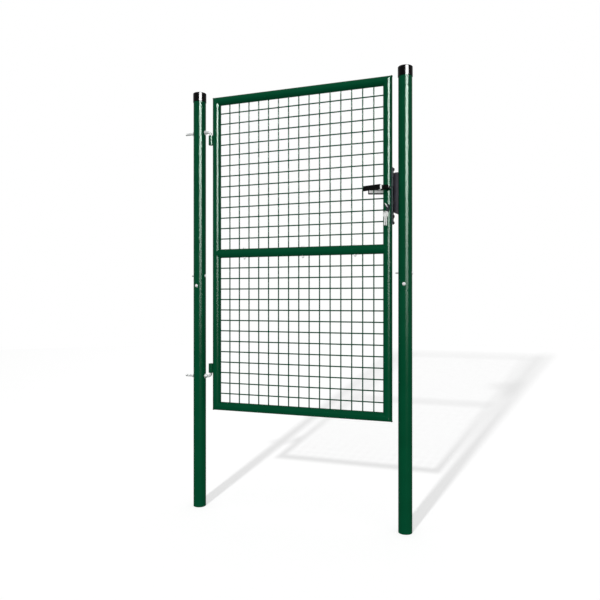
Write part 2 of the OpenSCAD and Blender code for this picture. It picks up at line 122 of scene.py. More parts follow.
def ringed(outline, heights, centre=(0, 0, 0), axis="z", inset=None):
    # prism: the flat outline is repeated at each height, drawn in by inset along its own outward normals
    outline = np.asarray(outline, float)
    ahead, behind = np.roll(outline, -1, 0), np.roll(outline, 1, 0)
    run = ahead - behind
    normal = np.stack([run[:, 1], -run[:, 0]], -1) / np.linalg.norm(run, axis=1)[:, None]
    area = np.sum(outline[:, 0] * ahead[:, 1] - outline[:, 1] * ahead[:, 0])
    normal *= np.sign(area)
    heights = np.asarray(heights, float)
    inset = np.zeros(len(heights)) if inset is None else np.asarray(inset, float)
    flat = outline[None] - inset[:, None, None] * normal[None]
    tall = np.broadcast_to(heights[:, None, None], flat.shape[:2] + (1,))
    return place(np.concatenate([flat, tall], -1), centre, axis), False, True, True


def swept(path, across, section, closed=False, ends=True):
    # a cross-section carried along a path: its first number runs along the vector across, its second at right
    # angles to that vector and to the path
    path = np.asarray(path, float)
    if closed:
        tangent = np.roll(path, -1, 0) - np.roll(path, 1, 0)
    else:
        tangent = np.gradient(path, axis=0)
    tangent /= np.linalg.norm(tangent, axis=1)[:, None]
    across = np.broadcast_to(np.asarray(across, float), path.shape)
    across = across - np.sum(across * tangent, 1)[:, None] * tangent
    across = across / np.linalg.norm(across, axis=1)[:, None]
    side = np.cross(tangent, across)
    section = np.asarray(section, float)
    if section.ndim == 2:
        section = np.broadcast_to(section, (len(path),) + section.shape)
    grid = path[:, None] + section[..., 0, None] * across[:, None] + section[..., 1, None] * side[:, None]
    return grid, closed, True, ends and not closed


def roundedOutline(corners, radii, steps=6, closed=True):
    # each corner of the outline becomes an arc of the given radius that touches both of its sides
    corners = np.array(corners, float)
    result = []
    for i in range(len(corners)):
        corner, radius = corners[i], radii[i]
        if radius == 0 or (not closed and i in (0, len(corners) - 1)):
            result.append(corner[None])
            continue
        back, ahead = corners[i - 1] - corner, corners[(i + 1) % len(corners)] - corner
        back, ahead = back / np.linalg.norm(back), ahead / np.linalg.norm(ahead)
        half = 0.5 * math.acos(max(-1, min(1, float(back @ ahead))))
        centre = corner + (back + ahead) / np.linalg.norm(back + ahead) * radius / math.sin(half)
        first = corner + back * radius / math.tan(half) - centre
        last = corner + ahead * radius / math.tan(half) - centre
        sweep = math.pi - 2 * half
        share = np.linspace(0, 1, steps)[:, None]
        arc = np.sin((1 - share) * sweep) * first + np.sin(share * sweep) * last
        result.append(centre + arc / math.sin(sweep))
    return np.concatenate(result)


def repeated(surface, offsets):
    # the same surface at every offset
    grid, closeRows, closeColumns, ends = surface
    return [(grid + np.asarray(offset, float), closeRows, closeColumns, ends) for offset in offsets]


def gridFaces(rows, columns, closeRows, closeColumns):
    # one four-sided face between each pair of neighbouring rows and columns, wrapped round where closed
    row = np.arange(rows if closeRows else rows - 1)
    column = np.arange(columns if closeColumns else columns - 1)
    row, column = np.meshgrid(row, column, indexing="ij")
    nextRow, nextColumn = (row + 1) % rows, (column + 1) % columns
    corners = [row * columns + column, row * columns + nextColumn,
               nextRow * columns + nextColumn, nextRow * columns + column]
    return np.stack(corners, -1).reshape(-1, 4)


def cleanMesh(mesh, angle=smooth):
    # seams and poles are merged, then every face is turned outwards
    work = bmesh.new()
    work.from_mesh(mesh)
    bmesh.ops.remove_doubles(work, verts=work.verts, dist=2e-6)
    bmesh.ops.recalc_face_normals(work, faces=work.faces)
    work.to_mesh(mesh)
    work.free()
    mesh.shade_smooth()
    mesh.set_sharp_from_angle(angle=math.radians(angle))


def inScene(name, data):
    # a new object at the origin that shows this mesh, curve, lamp or camera
    thing = bpy.data.objects.new(name, data)
    bpy.context.scene.collection.objects.link(thing)
    return thing


def meshObject(name, surfaces, angle=smooth):
    # all the surfaces in one mesh, each with a face over its first and last row where it has flat ends
    points, faces, start = [], [], 0
    for grid, closeRows, closeColumns, ends in surfaces:
        rows, columns = grid.shape[:2]
        points.append(grid.reshape(-1, 3))
        faces += (gridFaces(rows, columns, closeRows, closeColumns) + start).tolist()
        if ends:
            faces.append(list(range(start + columns - 1, start - 1, -1)))
            faces.append(list(range(start + (rows - 1) * columns, start + rows * columns)))
        start += rows * columns
    mesh = bpy.data.meshes.new(name)
    mesh.from_pydata((np.concatenate(points) * mm).tolist(), [], faces)
    cleanMesh(mesh, angle)
    return inScene(name, mesh)


def plainMesh(thing):
    # a new mesh of the object, with its curve or its modifiers worked out
    bpy.context.view_layer.update()
    return bpy.data.meshes.new_from_object(thing.evaluated_get(bpy.context.evaluated_depsgraph_get()))


def settle(thing):
    # the modifiers' result becomes the piece's own mesh
    mesh = plainMesh(thing)
    thing.modifiers.clear()
    thing.data = mesh
    return mesh


def evenShading(thing):
    # each corner's direction follows the larger face, so flat sides stay flat and only the small edges turn
    weigh = thing.modifiers.new("shading", "WEIGHTED_NORMAL")
    weigh.mode, weigh.weight, weigh.keep_sharp = "FACE_AREA", 50, True
    settle(thing)


def coat(thing, material):
    thing.data.materials.clear()
    thing.data.materials.append(material)


def finishPiece(thing, material, body, replaced=()):
    # shading, material (which carries its finish slot), the body that it moves with, and the CAD nodes that it
    # stands for, which it hides
    evenShading(thing)
    coat(thing, material)
    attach(thing, body)
    if replaced:
        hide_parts(*replaced)


def piece(name, surfaces, material, body, replaced=(), angle=smooth):
    finishPiece(meshObject(name, surfaces, angle), material, body, replaced)


def bevelled(thing, width, segments=3, angle=30):
    # rounds the edges of a finished mesh and keeps the result as plain geometry
    bevel = thing.modifiers.new("edges", "BEVEL")
    bevel.width, bevel.segments = width * mm, segments
    bevel.limit_method, bevel.angle_limit = "ANGLE", math.radians(angle)
    cleanMesh(settle(thing))


def cutOut(thing, cutters):
    # takes the cutters' volume out of the piece
    for cutter in cutters:
        tool = meshObject("cutter", [cutter])
        cut = thing.modifiers.new("cut", "BOOLEAN")
        cut.operation, cut.solver, cut.object = "DIFFERENCE", "EXACT", tool
        cleanMesh(settle(thing))
        bpy.data.objects.remove(tool)


def meshPoints(mesh):
    # the mesh's points as one array, in metres
    co = np.empty(len(mesh.vertices) * 3)
    mesh.vertices.foreach_get("co", co)
    return co.reshape(-1, 3)


def block(low, high):
    # straight box between two corners, as a prism over its floor plan
    (x0, y0, z0), (x1, y1, z1) = low, high
    return ringed([(x0, y0), (x1, y0), (x1, y1), (x0, y1)], [z0, z1])


def linear(red, green, blue):
    # screen values 0 to 255 to the linear values that a shader reads
    share = np.array([red, green, blue]) / 255
    value = np.where(share <= 0.04045, share / 12.92, ((share + 0.055) / 1.055) ** 2.4)
    return (*value.tolist(), 1)


def addNode(tree, kind, inputs, **settings):
    # new shader node; each input takes a fixed value or follows another node's output
    node = tree.nodes.new("ShaderNode" + kind)
    for name, value in settings.items():
        setattr(node, name, value)
    for socket, value in inputs.items():
        if isinstance(value, bpy.types.NodeSocket):
            tree.links.new(value, node.inputs[socket])
        else:
            node.inputs[socket].default_value = value
    return node


def finish(name, slot, colours, roughness, relief, stretch=(1, 1, 1), **sockets):
    # three cloud patterns, each given by its cells per metre, its detail and its range: two colours, a low and
    # a high roughness, and the relief's depth in millimetres; a stretch below 1 draws the last two out along
    # that axis, and sockets hold the surface's even values
    material = bpy.data.materials.new(name)
    material.use_nodes = True
    material["slot"] = slot
    tree = material.node_tree
    onPiece = addNode(tree, "TexCoord", {}).outputs["Object"]
    start, end = 0.3, 0.7      # the part of a cloud pattern that is spread over the range

    def cloud(scale, detail, drawn=(1, 1, 1)):
        mapped = addNode(tree, "Mapping", {"Vector": onPiece, "Scale": drawn}).outputs["Vector"]
        return addNode(tree, "TexNoise", {"Vector": mapped, "Scale": scale, "Detail": detail}).outputs["Fac"]

    ramp = addNode(tree, "ValToRGB", {"Fac": cloud(*colours[:2])})
    for stop, position, colour in zip(ramp.color_ramp.elements, (start, end), colours[2:]):
        stop.position, stop.color = position, colour
    dull = addNode(tree, "MapRange", {"Value": cloud(*roughness[:2], stretch), "From Min": start,
                                      "From Max": end, "To Min": roughness[2], "To Max": roughness[3]})
    bump = addNode(tree, "Bump", {"Height": cloud(*relief[:2], stretch), "Strength": 1.0,
                                  "Distance": relief[2] * mm})
    surface = tree.nodes["Principled BSDF"]
    for node, output, socket in ((ramp, "Color", "Base Color"), (dull, "Result", "Roughness"),
                                 (bump, "Normal", "Normal")):
        tree.links.new(node.outputs[output], surface.inputs[socket])
    for socket, value in sockets.items():
        surface.inputs[socket.replace("_", " ")].default_value = value
    return material


boltFinish = finish("darkBoltSteel", "nickel", (90, 3, linear(44, 46, 52), linear(66, 68, 74)),
                    (2000, 2, 0.30, 0.45), (2000, 2, 0.004), stretch=(0.05, 1, 1), Metallic=1.0)

greenLook = {"colour": (2, 76, 47), "shade": (1, 71, 43), "wire": (0, 72, 48), "roughness": (0.165, 0.185),
             "grain": 1100, "relief": 0.001, "index": 1.1, "gloss": 0.424, "sleeveGloss": 0.56}


def greenPaint(name, colour, shade, gloss=greenLook["gloss"]):
    # powder coat with a fine grain, whose colour drifts a little over the gate
    return finish(name, "green_paint", (9, 3, linear(*shade), linear(*colour)),
                  (40, 4, *greenLook["roughness"]), (greenLook["grain"], 1, greenLook["relief"]),
                  IOR=greenLook["index"], Specular_IOR_Level=gloss)


paint = greenPaint("greenPowderCoat", greenLook["colour"], greenLook["shade"])
sleevePaint = greenPaint("greenSleeveCoat", greenLook["colour"], greenLook["shade"], greenLook["sleeveGloss"])
wirePaint = greenPaint("greenWireCoat", greenLook["wire"], greenLook["wire"])
zinc = finish("brightZinc", "zinc", (160, 3, (0.86, 0.87, 0.88, 1), (0.95, 0.95, 0.945, 1)),
              (300, 4, 0.22, 0.36), (900, 3, 0.01), Metallic=1.0)
# pale nickel for the keys and the lever inlays: its near-white colour with little metal in it is partly the
# plating's own tone and partly painted reflection of the bright surroundings
nickelWithPaintedSheen = finish("paleNickelPaintedSheen", "nickel", (120, 3, (0.94, 0.94, 0.93, 1), (0.985, 0.985, 0.98, 1)),
                  (900, 3, 0.22, 0.34), (1800, 2, 0.003), Metallic=0.18)
plastic = finish("glossyBlackPlastic", "black_gloss", (60, 3, linear(0, 0, 0), linear(3, 3, 3)),
                 (90, 4, 0.15, 0.20), (1600, 2, 0.002), Specular_IOR_Level=0.05)
moulded = finish("charcoalMouldedPlastic", "charcoal_plastic",
                 (70, 3, linear(44, 42, 51), linear(54, 52, 60)), (500, 3, 0.48, 0.62), (1300, 3, 0.02),
                 Specular_IOR_Level=0.02)
plateFinish = finish("tealBlackPaint", "faceplate_paint", (50, 3, linear(30, 50, 49), linear(42, 57, 58)),
                     (200, 3, 0.30, 0.42), (1200, 2, 0.006), Specular_IOR_Level=0.02)
screwFinish = finish("blackScrewSteel", "black_screws", (200, 3, linear(6, 6, 6), linear(16, 16, 17)),
                     (600, 3, 0.30, 0.45), (1500, 2, 0.008), Specular_IOR_Level=0.04)
print("materials made")


post = {"wall": 1.5, "footPlate": 3.0, "footRound": 0.6, "jointGroove": 0.9, "rimRound": 0.4, "sides": 96}


def postTube(cadNode, low, high, isFoot):
    # closed tube wall, or a cup with a floor for the foot, turned round the post's axis
    centre = middle(cadNode)
    radius = (nodeBox(cadNode)[1][0] - nodeBox(cadNode)[0][0]) / 2
    inner, soft, rim = radius - post["wall"], post["jointGroove"], post["rimRound"]
    if isFoot:
        floor = low + post["footPlate"]
        corners = [(0, low), (radius, low), (radius, high - soft), (radius - soft, high), (inner, high),
                   (inner, floor), (0, floor)]
        outline = roundedOutline(corners, [0, post["footRound"], rim, 0, 0, 0, 0], 5, closed=False)
    else:
        corners = [(inner, low), (radius - soft, low), (radius, low + soft), (radius, high - rim),
                   (inner, high)]
        outline = roundedOutline(corners, [0, 0, rim, rim / 2, 0], 4)
    return turned(outline, (centre[0], centre[1], 0), "z", post["sides"], closed=not isFoot)


capLook = {"round": 3.0, "top": 2.0, "rims": (0.8, 0.3), "inside": 0.5, "play": 0.2}


def postCap(cadNode):
    # cup turned upside down over the tube, with a rounded top edge and a softened rim
    low, high = nodeBox(cadNode)
    radius = (high[0] - low[0]) / 2
    inner = nodeBox("hinge_post_upper")[1][0] + capLook["play"]
    ceiling = high[2] - capLook["top"]
    corners = [(0, high[2]), (radius, high[2]), (radius, low[2]), (inner, low[2]), (inner, ceiling),
               (0, ceiling)]
    radii = [0, capLook["round"], *capLook["rims"], capLook["inside"], 0]
    outline = roundedOutline(corners, radii, 9, closed=False)
    return turned(outline, (middle(cadNode)[0], 0, 0), "z", post["sides"])


for side in ("hinge", "lock"):
    lower, upper = f"{side}_post_lower", f"{side}_post_upper"
    floor, joint, top = nodeBox(lower)[0][2], nodeBox(lower)[1][2], nodeBox(upper)[1][2]
    piece(f"{side}PostLower", [postTube(lower, floor, joint, True)], paint, "posts", [lower])
    piece(f"{side}PostUpper", [postTube(upper, joint, top, False)], paint, "posts", [upper])
    piece(f"{side}PostCap", [postCap(f"{side}_post_cap")], plastic, "posts", [f"{side}_post_cap"])
    coat(nodes[f"{side}_post_coupling"], zinc)
print("posts made")


leafTube = {"wall": 1.5, "sides": 80, "seat": 0.1, "middleExtra": 1.0}
hingeStile, lockStile = middle("hinge_stile"), middle("lock_stile")
tubeRadius = (nodeBox("hinge_stile")[1][0] - nodeBox("hinge_stile")[0][0]) / 2
middleRadius = tubeRadius + leafTube["middleExtra"]
leafLeft, leafRight = nodeBox("top_rail")[0][0], nodeBox("top_rail")[1][0]
leafFoot, leafTop = nodeBox("hinge_stile")[0][2], nodeBox("hinge_stile")[1][2]
railHeight = middle("middle_rail")[2]


def cutTube(centre, axis, lowEnd, highEnd, outer=tubeRadius):
    # tube wall whose two ends are functions of the cross position, so that a mitre or a saddle is exact
    angle, inner = around(leafTube["sides"]), outer - leafTube["wall"]
    rows = []
    for radius, end in ((outer, lowEnd), (outer, highEnd), (inner, highEnd), (inner, lowEnd)):
        first, second = radius * np.cos(angle), radius * np.sin(angle)
        rows.append(np.stack([first, second, end(first, second)], -1))
    return place(np.stack(rows), centre, axis), True, True, False


bead = {"sides": 12, "swell": 0.10, "curve": 1.6, "start": 0.35, "mitre": (1.9, 0.75, 3.2),
        "saddle": (2.1, 1.1, 3.0), "saddleNarrow": 0.985}


def weldBead(path, outward, width, height, pitch, closed=False, sink=0.35):
    # row of overlapping scallops: a flattened round section swells and shrinks along the path once per pitch,
    # each scallop's edge is curved like a ripple, and an open bead grows from a smaller start at both ends
    path = np.asarray(path, float)
    step = np.linalg.norm(np.diff(path, axis=0), axis=1)
    along = np.concatenate([[0], np.cumsum(step)])[:, None]
    angle = around(bead["sides"])
    swell = 1 + bead["swell"] * np.cos(fullTurn * along / pitch + bead["curve"] * np.cos(angle))
    fromEnd = np.minimum(along, along[-1] - along)
    taper = 1.0 if closed else np.clip(fromEnd / (1.5 * width) + bead["start"], 0, 1) ** 0.5
    up = height * swell * taper * np.cos(angle) - sink * height
    out = width * swell * taper * np.sin(angle)
    return swept(path, outward, np.stack([up, out], -1), closed)


def unit(vectors):
    # each vector at a length of 1
    return vectors / np.linalg.norm(vectors, axis=-1, keepdims=True)


def mitreBead(atLeft, atTop):
    # the ellipse where a stile and a rail meet at 45 degrees, with the bead facing away from both tubes
    sideX, sideZ = (1 if atLeft else -1), (-1 if atTop else 1)
    turn = around(120)
    x = (leafLeft if atLeft else leafRight) + sideX * tubeRadius * (1 + np.cos(turn))
    z = (leafTop if atTop else leafFoot) + sideZ * tubeRadius * (1 + np.cos(turn))
    path = np.stack([x, tubeRadius * np.sin(turn), z], -1)
    outward = np.stack([sideX * np.cos(turn), 2 * np.sin(turn), sideZ * np.cos(turn)], -1)
    return weldBead(path, unit(outward), *bead["mitre"], closed=True)


def saddleBead(centreX, sideX):
    # the curve where the middle rail's end meets a stile, drawn in slightly to sit on both tubes
    turn = around(140)
    y, z = tubeRadius * bead["saddleNarrow"] * np.cos(turn), middleRadius * np.sin(turn)
    x = sideX * np.sqrt(tubeRadius ** 2 - y ** 2)
    path = np.stack([centreX + x, y, railHeight + z], -1)
    outward = unit(np.stack([x, y, 0 * y], -1)) + unit(np.stack([0 * y, y, z], -1))
    return weldBead(path, unit(outward), *bead["saddle"], closed=True)


def stile(name, cadNode, centreX, slope):
    # upright tube with mitred ends: each end follows slope times the distance from the tube's middle
    piece(name, [cutTube((centreX, 0, 0), "z", lambda x, y: leafFoot + slope * x + tubeRadius,
                         lambda x, y: leafTop - slope * x - tubeRadius)], paint, "gate", [cadNode])


def rail(name, cadNode, level, slope):
    # level tube, mitred in the same way
    piece(name, [cutTube((0, 0, level), "x", lambda y, z: leafLeft + slope * z + tubeRadius,
                         lambda y, z: leafRight - slope * z - tubeRadius)], paint, "gate", [cadNode])


def middleRail():
    # level tube whose ends are hollowed to fit round the stiles
    saddle = middleRadius + leafTube["seat"]
    ends = [lambda y, z: hingeStile[0] + np.sqrt(saddle ** 2 - y ** 2),
            lambda y, z: lockStile[0] - np.sqrt(saddle ** 2 - y ** 2)]
    tube = cutTube((0, 0, railHeight), "x", *ends, middleRadius)
    piece("middleRail", [tube], paint, "gate", ["middle_rail"])


stile("hingeStile", "hinge_stile", hingeStile[0], 1)
stile("lockStile", "lock_stile", lockStile[0], -1)
rail("topRail", "top_rail", leafTop - tubeRadius, -1)
rail("bottomRail", "bottom_rail", leafFoot + tubeRadius, 1)
middleRail()
frameBeads = [mitreBead(left, top) for left in (True, False) for top in (True, False)]
frameBeads += [saddleBead(hingeStile[0], 1), saddleBead(lockStile[0], -1)]
piece("frameWelds", frameBeads, paint, "gate", angle=60)
print("leaf frame made")


netting = {"pitch": 50.0, "gather": 0.998, "wire": 2.9, "firstUpright": 68.1, "sides": 12, "reach": 0.6,
           "spot": (2.9, 1.5, 2.9), "foot": (3.6, 3.4, 1.9), "sideFoot": (1.9, 3.4, 3.6), "footReach": 0.4}


def wire(start, end):
    # straight round rod between two points
    return swept([start, end], (0, 1, 0), polar(netting["wire"], around(netting["sides"])))


def weldSpot(size, columns=8, rows=5):
    # flattened ball: latitude rows and longitude columns scaled to the three half-sizes
    latitude = np.linspace(-math.pi / 2, math.pi / 2, rows)[:, None]
    longitude = around(columns)
    shape = polar(np.cos(latitude), longitude, np.sin(latitude) + 0 * longitude)
    return shape * np.asarray(size, float), False, True, False


def meshPanel(name, cadNode, fromTop):
    # uprights behind and cross wires in front, a flattened weld where they meet and a larger one at each end
    low, high = nodeBox(cadNode)
    pitch, reach, foot = netting["pitch"], netting["reach"], netting["footReach"]
    back, front = high[1] - netting["wire"], low[1] + netting["wire"]
    firstX = hingeStile[0] + netting["firstUpright"]
    uprights = firstX + pitch * np.arange(int((high[0] - firstX) // pitch) + 1)
    count = int((high[2] - low[2] - 0.5 * pitch) // pitch)
    first = high[2] + leafTube["seat"] - pitch if fromTop else low[2] - leafTube["seat"] + pitch
    levels = first + (-1 if fromTop else 1) * pitch * np.arange(count)
    levels = railHeight + netting["gather"] * (levels - railHeight)
    surfaces = [wire((x, back, low[2] - reach), (x, back, high[2] + reach)) for x in uprights]
    surfaces += [wire((low[0] - reach, front, z), (high[0] + reach, front, z)) for z in levels]
    spots = [(x, (front + back) / 2, z) for x in uprights for z in levels]
    surfaces += repeated(weldSpot(netting["spot"]), spots)
    feet = [(x, back, z) for x in uprights for z in (low[2] - foot, high[2] + foot)]
    surfaces += repeated(weldSpot(netting["foot"]), feet)
    feet = [(x, front, z) for x in (low[0] - foot, high[0] + foot) for z in levels]
    surfaces += repeated(weldSpot(netting["sideFoot"]), feet)
    piece(name, surfaces, wirePaint, "gate", [cadNode], angle=50)
    print(name, len(uprights), "uprights,", len(levels), "cross wires")


meshPanel("upperMesh", "upper_mesh", False)
meshPanel("lowerMesh", "lower_mesh", True)
print("mesh made")


def hexRadius(acrossFlats, angle):
    # distance from the centre to a hexagon's side at each angle
    return acrossFlats / 2 / np.cos((angle + math.pi / 6) % (math.pi / 3) - math.pi / 6)


def hexPart(acrossFlats, height, centre, axis, bore=0.0, turn=0.0, chamferBoth=True):
    # hexagon whose corners are cut by a 30 degree cone at its faces; a bore makes it a closed ring
    columns, edge, slope = 72, 1.4, math.sqrt(3)
    angle = around(columns)
    levels = np.concatenate([np.linspace(0, edge, 8), np.linspace(height - edge, height, 8)])
    cone = 0.475 * acrossFlats + slope * (height - levels)
    if chamferBoth:
        cone = np.minimum(cone, 0.475 * acrossFlats + slope * levels)
    radius = np.minimum(hexRadius(acrossFlats, angle)[None], cone[:, None])
    if bore:
        ring = np.full((1, columns), bore / 2)
        radius = np.concatenate([ring, ring + 0.5, radius, ring + 0.5, ring])
        levels = np.concatenate([[0.5, 0], levels, [height, height - 0.5]])
    else:
        pole = np.zeros((1, columns))
        radius, levels = np.concatenate([pole, radius, pole]), np.concatenate([[0], levels, [height]])
    local = polar(radius, angle + turn, levels[:, None] + 0 * angle)
    return place(local, centre, axis), bool(bore), True, False


threadSides = 28


def threadRadius(along, angle, diameter, pitch, depth):
    # screw thread: the groove follows along / pitch minus the share of a turn
    phase = (along / pitch - angle / fullTurn) % 1
    return diameter / 2 - depth * np.clip(1.25 - np.abs(2 * phase - 1) * 1.5, 0, 1)


def threadedRod(diameter, pitch, length, centre, axis, chamfer=1.0):
    # thread that both ends cut off in a cone
    along = np.linspace(0, length, int(length / pitch * 8) + 2)[:, None]
    angle = around(threadSides)
    radius = threadRadius(along, angle, diameter, pitch, 0.58 * pitch)
    radius = np.minimum(radius, diameter / 2 - chamfer + np.minimum(along, length - along))
    return place(polar(radius, angle, along + 0 * angle), centre, axis), False, True, True


def washer(outer, inner, thick, centre, axis):
    # flat ring with softened rims, turned round its axis
    corners = [(inner / 2, 0), (outer / 2, 0), (outer / 2, thick), (inner / 2, thick)]
    return turned(roundedOutline(corners, [0.2, 0.5, 0.5, 0.2], 4), centre, axis, 56, closed=True)


def domedHead(diameter, height, centre, axis, recess, recessSize, recessDepth):
    # round head: its height falls off like an ellipse to the rim, and a socket or a cross is pressed into it
    rim, columns = diameter / 2, 72
    angle = around(columns)
    share = np.concatenate([np.linspace(0, 0.62, 26), np.linspace(0.66, 1, 12)])[:, None]
    tall = 0.30 * height + 0.70 * height * np.sqrt(np.clip(1 - (share ** 2.6), 0, 1)) + 0 * angle
    x, y = rim * share * np.cos(angle), rim * share * np.sin(angle)
    if recess == "hex":
        inside = hexRadius(recessSize, angle)[None] - rim * share
    else:
        halfArm, reach = 0.16 * recessSize, recessSize / 2
        inside = np.maximum(np.minimum(halfArm - np.abs(x), reach - np.abs(y)),
                            np.minimum(halfArm - np.abs(y), reach - np.abs(x)))
    wallWidth = 0.35
    top = np.stack([x, y, tall - recessDepth * np.clip(inside / wallWidth + 0.5, 0, 1)], -1)
    foot = polar(rim, angle, 0 * angle)[None]
    pole = np.zeros((1, columns, 3))
    return place(np.concatenate([top, foot, pole]), centre, axis), False, True, False


fixing = {"diameter": 8.0, "thread": 1.25, "frontLength": 14.0, "sunk": 0.5, "headRadius": 7.5,
          "socket": (5.0, 2.4)}
tubePostRadius = nodeBox("hinge_post_upper")[1][0]


def postBolts(side):
    # the cross bolt with its threaded tip at -X, and the screw on the post's front
    cadNode = f"{side}_post_bolts"
    low, high = nodeBox(cadNode)
    radius, diameter, pitch = fixing["headRadius"], fixing["diameter"], fixing["thread"]
    centreX = middle(f"{side}_post_upper")[0]
    seat = centreX + tubePostRadius
    headHeight = high[0] - seat
    front, crossLevel, frontLevel = low[1] + headHeight, high[2] - radius, low[2] + radius
    tail = front + fixing["frontLength"] - fixing["sunk"]
    surfaces = []
    for tip, length, base, axis in (((low[0], 0, crossLevel), seat - low[0], (seat, 0, crossLevel), "x"),
                                    ((centreX, tail, frontLevel), fixing["frontLength"],
                                     (centreX, front, frontLevel), "-y")):
        surfaces.append(threadedRod(diameter, pitch, length, tip, axis))
        surfaces.append(domedHead(2 * radius, headHeight, base, axis, "hex", *fixing["socket"]))
    piece(f"{side}PostBolts", surfaces, zinc, "posts", [cadNode], angle=30)


for side in ("hinge", "lock"):
    postBolts(side)

railBolt = {"across": 13.0, "headHeight": 5.3, "thread": 1.25, "diameter": 8.0, "sunk": 0.5, "play": 0.2,
            "nutTurn": 0.3}


def railBolts():
    # heads on top of the middle rail and nuts below it: one set at each end, and one in the middle of the CAD
    # node's points that stand clear of both ends
    low, high = nodeBox("middle_rail_bolts")
    nutLow, nutHigh = nodeBox("middle_rail_nuts")
    across, diameter, clear = railBolt["across"], railBolt["diameter"], 40
    first, last = low[0] + across / math.sqrt(3), high[0] - across / math.sqrt(3)
    along = meshPoints(nodes["middle_rail_bolts"].data)[:, 0] * 1000
    between = along[(along > first + clear) & (along < last - clear)]
    headFoot = high[2] - railBolt["headHeight"]
    length = headFoot + railBolt["sunk"] - low[2]
    bolts, nuts = [], []
    for x in (first, (between.min() + between.max()) / 2, last):
        bolts.append(hexPart(across, railBolt["headHeight"], (x, 0, headFoot), "z", chamferBoth=False))
        bolts.append(threadedRod(diameter, railBolt["thread"], length, (x, 0, low[2]), "z"))
        nuts.append(hexPart(across, nutHigh[2] - nutLow[2], (x, 0, nutLow[2]), "z",
                            bore=diameter + railBolt["play"], turn=railBolt["nutTurn"]))
    piece("middleRailBolts", bolts, zinc, "gate", ["middle_rail_bolts"], angle=30)
    piece("middleRailNuts", nuts, zinc, "gate", ["middle_rail_nuts"], angle=30)


railBolts()
print("fixings made")


hook = {"diameter": 12.0, "bend": 15.0, "pin": 30.0, "armChamfer": 1.3, "pinChamfer": 1.2,
        "thread": 1.75, "threadDeep": 0.95, "threadEnd": 45.0, "nut": 17.0, "nutTurn": 0.12,
        "washer": 22.0, "washerThick": 2.0, "play": 0.2, "upperShift": -0.6, "lowerShift": 2.2}


def hingeBox(cadNode):
    # the node's box, moved up by the shift of its hinge
    shift = [0, 0, hook["lowerShift"] if cadNode.startswith("lower") else hook["upperShift"]]
    return [corner + shift for corner in nodeBox(cadNode)]


def hingeHook(name, cadNode, pinUp):
    # rod along the arm, quarter bend and pin; its radius carries the arm's thread and a chamfer at each end
    low, high = hingeBox(cadNode)
    radius, bend = hook["diameter"] / 2, hook["bend"]
    pinX, side = high[0] - radius, 1 if pinUp else -1
    level = low[2] + radius if pinUp else high[2] - radius
    pinEnd = high[2] if pinUp else low[2]
    x = np.arange(low[0], hook["threadEnd"], hook["thread"] / 8)
    arm = np.stack([x, 0 * x, level + 0 * x], -1)
    turn = np.linspace(0, math.pi / 2, 24)
    rise = side * bend * (1 - np.cos(turn))
    curve = np.stack([pinX - bend + bend * np.sin(turn), 0 * turn, level + rise], -1)
    z = pinEnd - side * np.array([hook["pin"], hook["pinChamfer"], 0.0])
    path = np.concatenate([arm, curve, np.stack([pinX + 0 * z, 0 * z, z], -1)])
    angle = around(threadSides)
    along = (path[:, 0] - low[0])[:, None]
    threaded = threadRadius(along, angle, hook["diameter"], hook["thread"], hook["threadDeep"])
    size = np.where(np.arange(len(path))[:, None] < len(arm), threaded, radius + 0 * angle)
    size = np.minimum(size, radius - hook["armChamfer"] + along)
    size[-1] = radius - hook["pinChamfer"]
    piece(name, [swept(path, (0, 1, 0), polar(size, angle))], zinc, "posts", [cadNode], angle=30)


hingeHook("upperHingeHook", "upper_hinge_hook", False)
hingeHook("lowerHingeHook", "lower_hinge_hook", True)


def hookNuts():
    # a washer and a nut on each side of the post, on both hooks
    radius, washerThick, bore = hook["diameter"] / 2, hook["washerThick"], hook["diameter"] + hook["play"]
    nutThick = nodeBox("hinge_nuts")[1][0] - tubePostRadius - washerThick
    nuts, washers = [], []
    for level in (hingeBox("upper_hinge_hook")[1][2] - radius, hingeBox("lower_hinge_hook")[0][2] + radius):
        for side, sign in (("x", 1), ("-x", -1)):
            seat, face = sign * tubePostRadius, sign * (tubePostRadius + washerThick)
            washers.append(washer(hook["washer"], bore, washerThick, (seat, 0, level), side))
            nuts.append(hexPart(hook["nut"], nutThick, (face, 0, level), side, bore=bore,
                                turn=math.pi / 6 + hook["nutTurn"] * sign))
    piece("hingeNuts", nuts, zinc, "posts", ["hinge_nuts"], angle=30)
    piece("hingeWashers", washers, zinc, "posts", ["hinge_washers"], angle=30)


hookNuts()

sleeve = {"bore": 12.6, "round": (0.5, 0.9), "beadShort": 1.5, "beadSpread": 4.9, "beadSunk": 0.4,
          "beadSize": (3.0, 2.3), "pitch": 3.0}


def hingeSleeve(name, cadNode):
    # closed ring turned round the pin, with two upright beads that join it to the stile
    low, high = hingeBox(cadNode)
    radius, bore = (high[1] - low[1]) / 2, sleeve["bore"] / 2
    centreX, (inside, outside) = low[0] + radius, sleeve["round"]
    corners = [(bore, low[2]), (radius, low[2]), (radius, high[2]), (bore, high[2])]
    outline = roundedOutline(corners, [inside, outside, outside, inside], 5)
    surfaces = [turned(outline, (centreX, 0, 0), "z", 64, closed=True)]
    z = np.linspace(low[2] + sleeve["beadShort"], high[2] - sleeve["beadShort"], 70)
    beadX, beadY = centreX + radius - sleeve["beadSunk"], sleeve["beadSpread"]
    for side in (-1, 1):
        path = np.stack([beadX + 0 * z, side * beadY + 0 * z, z], -1)
        surfaces.append(weldBead(path, (0.12, side, 0), *sleeve["beadSize"], sleeve["pitch"], sink=0.2))
    piece(name, surfaces, sleevePaint, "gate", [cadNode], angle=50)


hingeSleeve("upperHingeSleeve", "upper_hinge_sleeve")
hingeSleeve("lowerHingeSleeve", "lower_hinge_sleeve")
print("hinges made")


lock = {"plateRound": 1.6, "plateRows": (0, 0.5, 1.6), "boltGap": 0.3, "seat": 0.1, "boltEdge": 0.7,
        "latchFlat": 2.0}
lockX = lockStile[0]


